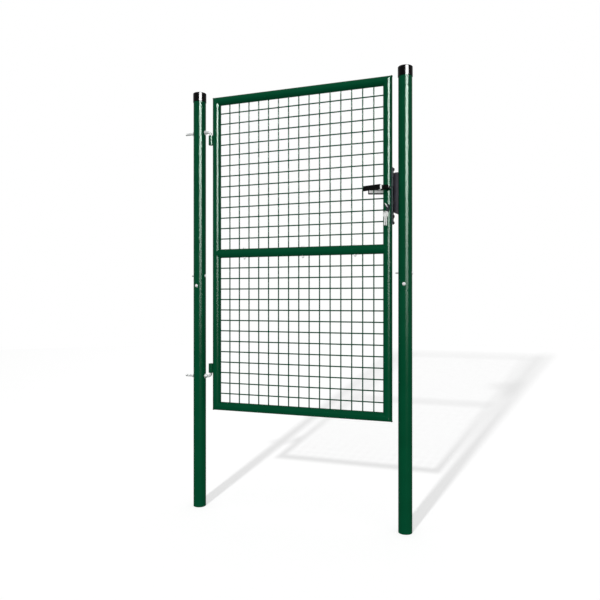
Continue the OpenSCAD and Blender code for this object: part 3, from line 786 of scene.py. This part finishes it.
def plateOutline(faceX, half, radius, count=24):
    # flat front, straight sides and a hollow back that fits the round stile
    reach = math.asin(half / radius)
    arc = np.linspace(reach, -reach, count)
    back = np.stack([lockX + radius * np.cos(arc), radius * np.sin(arc)], -1)
    front = roundedOutline([(back[-1][0], -half), (faceX, -half), (faceX, half), (back[0][0], half)],
                           [0, lock["plateRound"], lock["plateRound"], 0], 6, closed=False)
    return np.concatenate([front[1:-1], back])


def lockPlate():
    # prism over the plate's outline, with an opening round each bolt
    low, high = nodeBox("lock_case")
    outline = plateOutline(high[0], (high[1] - low[1]) / 2, tubeRadius + lock["seat"])
    rows = np.array(lock["plateRows"])
    plate = meshObject("lockFaceplate", [ringed(outline, [*(low[2] + rows), *(high[2] - rows[::-1])])])
    gap, cuts = lock["boltGap"], []
    for cadNode in ("latch_bolt", "dead_bolt"):
        boltLow, boltHigh = nodeBox(cadNode)
        cuts.append(block((boltLow[0], boltLow[1] - gap, boltLow[2] - gap),
                          (high[0] + 2, boltHigh[1] + gap, boltHigh[2] + gap)))
    cutOut(plate, cuts)
    finishPiece(plate, plateFinish, "gate", ["lock_case"])
    return low, high


plateLow, plateHigh = lockPlate()


def slidingBolt(name, cadNode, body, slanted=False):
    # the CAD bolt's own outline with every edge rounded; a slanted one falls back towards its rear side
    low, high = nodeBox(cadNode)
    outline = [(low[0], low[1]), (high[0], low[1]), (high[0], high[1]), (low[0], high[1])]
    if slanted:
        outline[2:3] = [(high[0], low[1] + lock["latchFlat"]), (plateHigh[0] + 1, high[1])]
    thing = meshObject(name, [ringed(outline, [low[2], high[2]])])
    bevelled(thing, lock["boltEdge"])
    finishPiece(thing, boltFinish, body, [cadNode])


slidingBolt("latchBolt", "latch_bolt", "latch", slanted=True)
slidingBolt("deadBolt", "dead_bolt", "gate")

plateScrew = {"heads": [(13, 0), (13, 22), (12, 0)], "fromTop": 8.0, "fromFoot": (34.0, 6.0), "out": 6.0,
              "washerBore": 6.4, "washerThick": 2.0, "cross": (7.5, 2.6)}


def plateScrews():
    # pan heads on the faceplate, the middle one on a washer
    levels = [plateHigh[2] - plateScrew["fromTop"]] + [plateLow[2] + d for d in plateScrew["fromFoot"]]
    surfaces = []
    for level, (head, plateWasher) in zip(levels, plateScrew["heads"]):
        base, out, thick = plateHigh[0], plateScrew["out"], plateScrew["washerThick"]
        if plateWasher:
            surfaces.append(washer(plateWasher, plateScrew["washerBore"], thick, (base, 0, level), "x"))
            base, out = base + thick, out - thick
        surfaces.append(domedHead(head, out, (base, 0, level), "x", "cross", *plateScrew["cross"]))
    piece("faceplateScrews", surfaces, screwFinish, "gate", ["faceplate_screws"], angle=30)


plateScrews()

leverLook = {"neck": 43.6, "grip": 47.0, "crankStart": 908.5, "crankEnd": 901.0, "halfThick": 4.5,
             "halfTall": 11.0, "neckTall": 10.3, "corner": 2.4, "frontRises": (3.0, -2.2),
             "backRises": (-4.8, -0.6), "tipRound": 2.0, "roseInner": 7.0, "roseRounds": (1.3, 0.4),
             "hubShort": 1.5, "inlayRim": 5.2, "inlayProud": 0.25, "inlayHalf": 0.9, "inlayCorner": 0.2}
spindleX, spindleLevel = middle("spindle")[0], middle("spindle")[2]


def rose(name, cadNode, side):
    # ring whose foot follows the round stile and whose front edge is rounded
    low, high = nodeBox(cadNode)
    outer, face = (high[2] - low[2]) / 2, max(abs(low[1]), abs(high[1]))
    inner, angle = leverLook["roseInner"], around(72)
    corners = roundedOutline([(outer, 0), (outer, face), (inner, face), (inner, 0)],
                             [0, *leverLook["roseRounds"], 0], 6, closed=False)
    rows = []
    for i, (radius, height) in enumerate(corners):
        x, z = radius * np.cos(angle), radius * np.sin(angle)
        foot = np.sqrt((tubeRadius + lock["seat"]) ** 2 - (spindleX + x - lockX) ** 2)
        y = foot if i in (0, len(corners) - 1) else np.maximum(height + 0 * angle, foot)
        rows.append(np.stack([spindleX + x, side * y, spindleLevel + z], -1))
    piece(name, [(np.stack(rows), True, True, False)], plastic, "gate", [cadNode])


rose("frontRose", "front_rose", -1)
rose("backRose", "back_rose", 1)


def softSection(halfThick, halfTall, corner, steps=7):
    # upright rectangle with quarter-round corners, one for each row of the half sizes
    angle = np.concatenate([np.linspace(q, q + 1, steps) for q in range(4)]) * math.pi / 2
    signThick = np.repeat([1, -1, -1, 1], steps)
    signTall = np.repeat([1, 1, -1, -1], steps)
    corner = (corner + 0 * halfThick)[:, None]
    out = signThick * (halfThick[:, None] - corner) + corner * np.cos(angle)
    up = signTall * (halfTall[:, None] - corner) + corner * np.sin(angle)
    return out, up


def gripLine(x, tip, side):
    # the grip's middle: a straight step outwards along the crank, then an even slope to the free end;
    # the back lever is the front one turned over, so it slopes the other way
    atBend, atTip = leverLook["frontRises" if side < 0 else "backRises"]
    step = np.clip((leverLook["crankStart"] - x) / (leverLook["crankStart"] - leverLook["crankEnd"]), 0, 1)
    share = np.clip((leverLook["crankEnd"] - x) / (leverLook["crankEnd"] - tip), 0, 1)
    y = leverLook["neck"] + (leverLook["grip"] - leverLook["neck"]) * step
    z = spindleLevel + atBend * step + (atTip - atBend) * share
    return y, z, step


def lever(name, cadNode, side):
    # hub: turned body with a rounded face; grip: flat bar that steps outwards and runs to the free end, where
    # it is drawn in like a quarter circle
    low, high = nodeBox(cadNode)
    start, end, soft = leverLook["crankStart"], leverLook["crankEnd"], leverLook["tipRound"]
    hubFoot, hubFace = sorted((abs(low[1]), abs(high[1])))
    hub, hubFace = high[0] - spindleX, hubFace - leverLook["hubShort"]
    profile = roundedOutline([(0, hubFoot), (hub, hubFoot), (hub, hubFace - 0.6), (0, hubFace)],
                             [0, 0.8, 3.0, 0], 10, closed=False)
    surfaces = [turned(profile, (spindleX, 0, spindleLevel), "y" if side > 0 else "-y", 72)]
    tip = low[0]
    x = np.concatenate([np.linspace(spindleX + 2, start, 6), np.linspace(start, end, 8)[1:],
                        np.linspace(end, tip + soft, 16)[1:],
                        tip + soft * (1 - np.sin(np.linspace(0, math.pi / 2, 8)))[1:]])
    y, z, step = gripLine(x, tip, side)
    lost = soft - np.sqrt(np.clip(soft ** 2 - np.clip(tip + soft - x, 0, soft) ** 2, 0.01, None))
    halfTall = leverLook["neckTall"] + (leverLook["halfTall"] - leverLook["neckTall"]) * step - lost
    out, up = softSection(leverLook["halfThick"] - lost, halfTall, leverLook["corner"] - 0.75 * lost)
    grid = np.stack([x[:, None] + 0 * out, side * (y[:, None] + out), z[:, None] + up], -1)
    surfaces.append((grid, False, True, True))
    piece(name, surfaces, plastic, "lever", [cadNode], angle=40)


def leverInlay(name, cadNode, side):
    # pale metal strip let into the grip's inner face, inside a black rim
    tip, rim, half = nodeBox(cadNode)[0][0], leverLook["inlayRim"], leverLook["inlayHalf"]
    x = np.linspace(leverLook["crankEnd"] + 1.0, tip + rim, 24)
    y, z, _ = gripLine(x, tip, side)
    inner = y - leverLook["halfThick"] - leverLook["inlayProud"]
    out, up = softSection(half + 0 * x, leverLook["halfTall"] - rim + 0 * x, leverLook["inlayCorner"])
    grid = np.stack([x[:, None] + 0 * out, side * (inner[:, None] + half + out), z[:, None] + up], -1)
    piece(name, [(grid, False, True, True)], nickelWithPaintedSheen, "lever", angle=40)


for end, side in (("front", -1), ("back", 1)):
    lever(f"{end}Lever", f"{end}_lever", side)
    leverInlay(f"{end}LeverInlay", f"{end}_lever", side)
coat(nodes["spindle"], zinc)


def aboutY(angle):
    # turn about the Y axis that tips the top towards -X
    cos, sin = math.cos(angle), math.sin(angle)
    return np.array([[cos, 0, -sin], [0, 1, 0], [sin, 0, cos]])


keyTurn = math.radians(30)
cylinder = {"round": 8.5, "web": 10.0, "plug": 6.6, "proud": 0.6, "keyway": (2.6, 8.6), "keywayDeep": 12.0,
            "groove": (0.02, 0.35), "grooveDeep": 0.8}
cylinderLow, cylinderHigh = nodeBox("lock_cylinder")
cylinderX, cylinderLevel = (cylinderLow[0] + cylinderHigh[0]) / 2, cylinderHigh[2] - cylinder["round"]


def lockCylinder():
    # keyhole-shaped prism through the leaf, with a turned plug that has a tipped key slot at each end
    radius, half, plugRadius = cylinder["round"], cylinder["web"] / 2, cylinder["plug"]
    front, rear = cylinderLow[1], cylinderHigh[1]
    start = math.asin(half / radius)
    upper = polar(radius, np.linspace(-math.pi / 2 + start, 1.5 * math.pi - start, 49))
    lower = polar(half, np.linspace(math.pi, fullTurn, 13)) + [0, cylinderLow[2] - cylinderLevel + half]
    outline = np.concatenate([upper, lower])
    soft = np.array([0, 0.15, 0.5])
    heights = [*(front + cylinder["proud"] + soft), *(rear - cylinder["proud"] - soft[::-1])]
    grid = ringed(outline[:, ::-1], heights, (cylinderX, 0, cylinderLevel), "y", [0.5, 0.2, 0, 0, 0.2, 0.5])
    body = meshObject("lockCylinderBody", [grid])
    profile = roundedOutline([(0, front), (plugRadius, front), (plugRadius, rear), (0, rear)],
                             [0, 0.5, 0.5, 0], 5, closed=False)
    plug = meshObject("lockCylinderPlug", [turned(profile, (cylinderX, 0, cylinderLevel), "y", 64)])
    wide, tall = cylinder["keyway"]
    slots = []
    for y0, y1 in ((front - 1, front + cylinder["keywayDeep"]), (rear - cylinder["keywayDeep"], rear + 1)):
        grid, *closing = block((-wide / 2, y0, -tall / 2), (wide / 2, y1, tall / 2))
        slots.append((grid @ aboutY(keyTurn).T + [cylinderX, 0, cylinderLevel], *closing))
    cutOut(plug, slots)
    # a fine groove round the plug's front
    near, far = plugRadius + np.array(cylinder["groove"])
    foot = front + cylinder["proud"] + cylinder["grooveDeep"]
    groove = turned([(near, front - 8), (far, front - 8), (far, foot), (near, foot)],
                    (cylinderX, 0, cylinderLevel), "y", 64, closed=True)
    cutOut(body, [groove] + slots)
    finishPiece(body, boltFinish, "gate", ["lock_cylinder"])
    finishPiece(plug, boltFinish, "gate")


lockCylinder()
print("lock made")


key = {"bow": 26.0, "bowWidth": 20.0, "thick": 2.2, "blade": 8.0, "hole": 7.0, "holeEdge": 5.0,
       "hangBlade": 35.0, "bevel": 0.28, "groove": 0.45, "grooveSides": (0.4, 2.0),
       "lockCuts": (1.2, 2.2, 0.8), "sag": 1.9}
hangingLook = [{"turn": 50.0, "lean": 2.3, "fromRing": -6.4, "cuts": (1.0, 2.0, 1.4, 2.4, 0.9)},
               {"turn": 47.0, "lean": 0.3, "fromRing": -0.5, "cuts": (2.0, 1.1, 2.3, 0.8, 1.7)}]


def keyOutline(bladeLength, cuts):
    # bow: circle clipped above and below with rounded corners; blade: straight back and a toothed edge
    radius, half = key["bow"] / 2, key["bowWidth"] / 2
    blade = key["blade"] / 2
    neck = math.acos(blade / radius)
    arc = np.linspace(math.pi / 2 - neck, fullTurn - math.pi / 2 + neck, 72)
    bow = np.stack([-radius + radius * np.cos(arc), np.clip(radius * np.sin(arc), -half, half)], -1)
    start = bow[-1][0] + 2
    teeth = np.linspace(start + 3, bladeLength - 4, len(cuts) * 4)
    depth = np.repeat(np.asarray(cuts, float), 4) * np.tile([0.3, 1, 1, 0.3], len(cuts))
    under = np.stack([teeth, -blade + depth], -1)
    tip = np.array([(start, -blade), (bladeLength - 2.5, -blade + 0.5), (bladeLength, -blade + 3.4),
                    (bladeLength, blade - 2.0), (bladeLength - 2.0, blade)])
    return np.concatenate([bow, tip[:1], under, tip[1:]])


def flatKey(name, bladeLength, cuts):
    # a filled flat curve with a round hole, given its thickness and a small bevel; it lies in the XY plane
    curve = bpy.data.curves.new(name, "CURVE")
    curve.dimensions, curve.fill_mode = "2D", "BOTH"
    hole = polar(key["hole"] / 2, around(40)) + [key["holeEdge"] - key["bow"], 0]
    for outline in (keyOutline(bladeLength, cuts), hole):
        spline = curve.splines.new("POLY")
        spline.points.add(len(outline) - 1)
        flat = np.concatenate([outline * mm, np.zeros((len(outline), 1)), np.ones((len(outline), 1))], 1)
        spline.points.foreach_set("co", flat.ravel())
        spline.use_cyclic_u = True
    curve.extrude = (key["thick"] / 2 - key["bevel"]) * mm
    curve.bevel_depth, curve.bevel_resolution = key["bevel"] * mm, 1
    curve.offset = -key["bevel"] * mm
    drawn = inScene(name, curve)
    mesh = plainMesh(drawn)
    bpy.data.objects.remove(drawn)
    cleanMesh(mesh, 30)
    solid = inScene(name, mesh)
    # shallow milled channel along each side of the blade
    y0, y1 = key["grooveSides"]
    for side in (-1, 1):
        z0, z1 = sorted((side * (key["thick"] / 2 - key["groove"]), side * (key["thick"] / 2 + 1)))
        cutOut(solid, [block((-1.0, y0, z0), (bladeLength + 1, y1, z1))])
    return solid


def stand(thing, turnMatrix, offset):
    # turns a finished mesh's points and moves them, so that its object stays at the origin
    co = meshPoints(thing.data) @ np.asarray(turnMatrix, float).T + np.asarray(offset, float) * mm
    thing.data.vertices.foreach_set("co", co.ravel())
    thing.data.update()


keyLow, keyHigh = nodeBox("inserted_key")
bowStart = keyLow[1] + key["bow"]
lockKey = flatKey("insertedKey", keyHigh[1] - bowStart, key["lockCuts"])
# key length along Y, its height along Z and its thickness along X, then turned in the lock
stand(lockKey, aboutY(keyTurn) @ [[0, 0, 1], [1, 0, 0], [0, 1, 0]], (cylinderX, bowStart, cylinderLevel))
finishPiece(lockKey, nickelWithPaintedSheen, "gate", ["inserted_key"])

ringLow, ringHigh = nodeBox("key_ring")
ringCentre = (ringLow + ringHigh) / 2
ringWire = ringHigh[1] - ringLow[1]
ringRadius = (ringHigh[0] - ringLow[0] - ringWire) / 2
ringLook = {"start": 0.05, "short": 0.35, "step": 0.9, "turn": 2.2, "half": (0.22, 0.45), "round": 0.18}


def splitRing():
    # flat wire wound almost twice round; it steps from the front layer to the back one over a short stretch.
    # Angles are in radians, and the wire's half thickness and height are shares of the ring's width
    turn = np.linspace(ringLook["start"], 2 * fullTurn - ringLook["short"], 220)
    step = np.clip((turn - fullTurn) / ringLook["step"] + 0.5, 0, 1)
    layer = (step * step * (3 - 2 * step) - 0.5) * ringWire / 2
    x, z = ringRadius * np.cos(turn + ringLook["turn"]), ringRadius * np.sin(turn + ringLook["turn"])
    path = np.stack([ringCentre[0] + x, ringCentre[1] + layer, ringCentre[2] + z], -1)
    thick, tall = ringLook["half"]
    corners = [(-thick, -tall), (thick, -tall), (thick, tall), (-thick, tall)]
    return swept(path, (0, 1, 0), roundedOutline(corners, [ringLook["round"]] * 4, 4) * ringWire)


def hangingKey(name, look):
    # hung by its hole from the ring, fromRing sideways of the ring's middle; its length points down and its
    # thickness along X, turned about the vertical and then leant
    blank = flatKey(name, key["hangBlade"], look["cuts"])
    cos, sin = math.cos(math.radians(look["turn"])), math.sin(math.radians(look["turn"]))
    matrix = aboutY(-math.radians(look["lean"])) @ [[0, -sin, cos], [0, cos, sin], [-1, 0, 0]]
    level = ringCentre[2] - math.sqrt(ringRadius ** 2 - look["fromRing"] ** 2) - key["sag"]
    hole = matrix @ [key["holeEdge"] - key["bow"], 0, 0]
    stand(blank, matrix, np.array([ringCentre[0] + look["fromRing"], ringCentre[1], level]) - hole)
    return blank


piece("keyRing", [splitRing()], boltFinish, "key_bunch", ["key_ring"], angle=40)
hanging = [hangingKey(f"hangingKey{number + 1}", look) for number, look in enumerate(hangingLook)]
finishPiece(hanging[0], nickelWithPaintedSheen, "key_bunch", ["hanging_keys"])
finishPiece(hanging[1], nickelWithPaintedSheen, "key_bunch")
print("keys made")


keeperLook = {"faceGap": 3.8, "backShort": 4.3, "stopGap": 0.6, "seat": 0.1, "ramp": 10.0,
              "rounds": (4.0, 2.0, 1.5, 1.2, 2.5), "topRound": 2.0, "topDraw": 0.6,
              "chamfer": 13.8, "slope": 0.62, "lift": 1.7, "footRun": 26.0,
              "pocketDeep": 10.8, "pocketWider": 3.0, "pocketTaller": 6.0,
              "screwHead": (11.0, 3.4), "headSunk": 0.1, "cross": (6.5, 2.0), "counterbore": (5.8, 3.6),
              "screw": 6.0, "screwPitch": 1.8, "screwStart": 3.0}


def keeperOutline(low, high, faceX):
    # floor plan: a ramp and a stop towards the faceplate, and at the back an arc that fits the round post
    half, ramp, stopFront = high[1], keeperLook["ramp"], plateHigh[1] + keeperLook["stopGap"]
    backX, postX = high[0] - keeperLook["backShort"], middle("lock_post_upper")[0]
    radius = tubePostRadius + keeperLook["seat"]
    reach = math.asin(math.sqrt(radius ** 2 - (postX - backX) ** 2) / radius)
    back = polar(radius, np.linspace(math.pi - reach, math.pi + reach, 40)) + [postX, 0]
    front = roundedOutline([(backX, -half), (faceX + ramp, -half), (faceX, -half + ramp), (faceX, stopFront),
                            (low[0], stopFront), (low[0], half), (backX, half)],
                           [0, *keeperLook["rounds"], 0], 7, closed=False)
    return np.concatenate([front[::-1], back[::-1]])


def keeper():
    # upright prism over the floor plan, with a rounded top, a slanted foot, two pockets and sunk screws
    low, high = nodeBox("keeper")
    screwLow, screwHigh = nodeBox("keeper_screws")
    faceX, topRound = plateHigh[0] + keeperLook["faceGap"], keeperLook["topRound"]
    soft = np.linspace(0, math.pi / 2, 5)
    heights = np.concatenate([[low[2]], high[2] - topRound + topRound * np.sin(soft)])
    inset = np.concatenate([[0], topRound - topRound * np.cos(soft)]) * keeperLook["topDraw"]
    surface = ringed(keeperOutline(low, high, faceX), heights, inset=inset)
    foot = surface[0][0]
    run = np.clip(faceX + keeperLook["chamfer"] - foot[:, 0], 0, keeperLook["footRun"])
    foot[:, 2] = low[2] + keeperLook["lift"] + keeperLook["slope"] * run
    body = meshObject("keeperBody", [surface])
    cuts, wider, taller = [], keeperLook["pocketWider"], keeperLook["pocketTaller"]
    for cadNode in ("latch_bolt", "dead_bolt"):
        boltLow, boltHigh = nodeBox(cadNode)
        cuts.append(block((faceX - 2, boltLow[1] - wider, boltLow[2] - taller),
                          (faceX + keeperLook["pocketDeep"], boltHigh[1] + wider, boltHigh[2] + taller)))
    (head, tall), (bore, deep) = keeperLook["screwHead"], keeperLook["counterbore"]
    start, screws = faceX + keeperLook["screwStart"], []
    for level in (screwLow[2] + head / 2, screwHigh[2] - head / 2):
        cuts.append(turned([(0, -2), (bore, -2), (bore, deep), (0, deep)], (faceX, 0, level), "x", 48))
        screws.append(domedHead(head, tall, (faceX + tall + keeperLook["headSunk"], 0, level), "-x", "cross",
                                *keeperLook["cross"]))
        screws.append(threadedRod(keeperLook["screw"], keeperLook["screwPitch"], screwHigh[0] - start,
                                  (start, 0, level), "x"))
    cutOut(body, cuts)
    finishPiece(body, moulded, "posts", ["keeper"])
    piece("keeperScrews", screws, zinc, "posts", ["keeper_screws"], angle=30)


keeper()
print("keeper made")


studio = {"floorRadius": 10.6, "floorGlow": 0.522, "floorGrey": 0.55, "ambient": 0.50,
          "keyPower": 1.29, "keyPlace": (0.47, -5.43, 3.16), "keyTarget": (0.5, 0, 0.9), "keySize": 0.24,
          "fillPower": 1.3, "fillFrom": (12, 25), "fillSpread": 60.0,
          "glossPower": 65000.0, "glossPlace": (6.6, -7.6, 2.7), "glossTarget": (0.5, 0, 2.7),
          "glossSize": (7.1, 7.2), "glossFade": 1.35}


def studioFloor():
    # pale floor that is white to the camera where no shadow falls
    angle = around(128)
    edge = polar(studio["floorRadius"], angle, cadBox[0][2] + 0 * angle)
    mesh = bpy.data.meshes.new("studioFloor")
    mesh.from_pydata(edge.tolist(), [], [list(range(len(edge)))])
    material = bpy.data.materials.new("paleFloor")
    material.use_nodes = True
    tree = material.node_tree
    tree.nodes.clear()
    seen = addNode(tree, "LightPath", {}).outputs["Is Camera Ray"]
    strength = addNode(tree, "Math", {0: seen, 1: studio["floorGlow"]}, operation="MULTIPLY").outputs[0]
    glow = addNode(tree, "Emission", {"Strength": strength}).outputs[0]
    diffuse = addNode(tree, "BsdfDiffuse", {"Color": (studio["floorGrey"],) * 3 + (1,)}).outputs[0]
    both = addNode(tree, "AddShader", {0: diffuse, 1: glow}).outputs[0]
    addNode(tree, "OutputMaterial", {"Surface": both})
    mesh.materials.append(material)
    thing = inScene("studioFloor", mesh)
    return thing


def studioWorld():
    # white to the camera, to gloss and through glass; a calm grey for every other ray
    world = bpy.data.worlds.new("studioWorld")
    bpy.context.scene.world = world
    world.use_nodes = True
    tree = world.node_tree
    tree.nodes.clear()
    rays = addNode(tree, "LightPath", {}).outputs
    seen = rays["Is Camera Ray"]
    for ray in ("Is Glossy Ray", "Is Transmission Ray"):
        seen = addNode(tree, "Math", {0: seen, 1: rays[ray]}, operation="MAXIMUM").outputs[0]
    level = addNode(tree, "MapRange", {"Value": seen, "To Min": studio["ambient"], "To Max": 1.0})
    white = addNode(tree, "Background", {"Color": (1, 1, 1, 1), "Strength": level.outputs["Result"]})
    addNode(tree, "OutputWorld", {"Surface": white.outputs[0]})


def risingStrength(tree):
    # brightest along the panel's upper edge: an eased height up the panel, from 0 to 1, raised to a power
    onPanel = addNode(tree, "NewGeometry", {}).outputs["Parametric"]
    height = addNode(tree, "SeparateXYZ", {0: onPanel}).outputs["Y"]
    eased = addNode(tree, "MapRange", {"Value": height}, interpolation_type="SMOOTHSTEP").outputs["Result"]
    return addNode(tree, "Math", {0: eased, 1: studio["glossFade"]}, operation="POWER").outputs[0]


def farStrength(tree):
    # grows with distance, which makes up for the slant at which the light meets a far floor
    steady = addNode(tree, "LightFalloff", {"Strength": 1.0}).outputs["Constant"]
    distance = addNode(tree, "LightPath", {}).outputs["Ray Length"]
    return addNode(tree, "Math", {0: steady, 1: distance}, operation="MULTIPLY").outputs[0]


def lamp(name, kind, location, target, power, strength=None, gloss=True, diffuse=True, **shape):
    # stands at its location and points at the target; strength makes the pattern that it shines with
    data = bpy.data.lights.new(name, kind)
    data.energy = power
    for setting, value in shape.items():
        setattr(data, setting, value)
    if strength:
        data.use_nodes = True
        tree = data.node_tree
        tree.links.new(strength(tree), tree.nodes["Emission"].inputs["Strength"])
    thing = inScene(name, data)
    thing.location = location
    away = np.array(target, float) - np.array(location, float)
    down = math.atan2(math.hypot(away[0], away[1]), -away[2])
    thing.rotation_euler = (down, 0, math.atan2(away[1], away[0]) - math.pi / 2)
    thing.visible_glossy, thing.visible_diffuse = gloss, diffuse
    return thing


def lightOnly(lampObject, name, things, blockers=()):
    # the lamp lights these pieces alone; every piece casts its shadow, unless the blockers are named
    group = bpy.data.collections.new(name)
    for thing in things:
        group.objects.link(thing)
    lampObject.light_linking.receiver_collection = group
    if blockers:
        shade = bpy.data.collections.new(name + "Shade")
        for thing in blockers:
            shade.objects.link(thing)
        lampObject.light_linking.blocker_collection = shade


def aim(azimuth, elevation, distance=10.0):
    # a point far from the gate, azimuth degrees from -Y towards +X
    side, up = math.radians(azimuth), math.radians(elevation)
    flat = distance * math.cos(up)
    return flat * math.sin(side), -flat * math.cos(side), distance * math.sin(up)


floor = studioFloor()
studioWorld()
glossWide, glossTall = studio["glossSize"]
keyLamp = lamp("keyLamp", "AREA", studio["keyPlace"], studio["keyTarget"], studio["keyPower"], farStrength,
               gloss=False, shape="DISK", size=studio["keySize"])
fillLamp = lamp("fillLamp", "SUN", aim(*studio["fillFrom"]), (0, 0, 0), studio["fillPower"],
                gloss=False, angle=math.radians(studio["fillSpread"]))
glossLamp = lamp("glossLamp", "AREA", studio["glossPlace"], studio["glossTarget"], studio["glossPower"],
                 risingStrength, diffuse=False, shape="RECTANGLE", size=glossWide, size_y=glossTall)
everything = bpy.context.scene.collection.all_objects
shown = [thing for thing in everything if thing.type == "MESH" and thing is not floor]
metals = (zinc, nickelWithPaintedSheen, boltFinish)
lightOnly(keyLamp, "floorOnly", [floor])
lightOnly(fillLamp, "gateOnly", shown)
lightOnly(glossLamp, "coatedOnly", [thing for thing in shown if thing.data.materials[0] not in metals], shown)

view = {"lens": 36.35, "sensor": 36.0, "shift": (-0.00025, -0.00067), "place": (1.466, -2.601, 1.0),
        "turn": 20.0}
camera = bpy.data.cameras.new("camera")
camera.lens, camera.sensor_width = view["lens"], view["sensor"]
camera.shift_x, camera.shift_y = view["shift"]
viewer = inScene("camera", camera)
viewer.location = view["place"]
viewer.rotation_euler = (math.radians(90), 0, math.radians(view["turn"]))
bpy.context.scene.camera = viewer
bpy.context.scene.view_settings.view_transform = "Standard"
print("studio made")
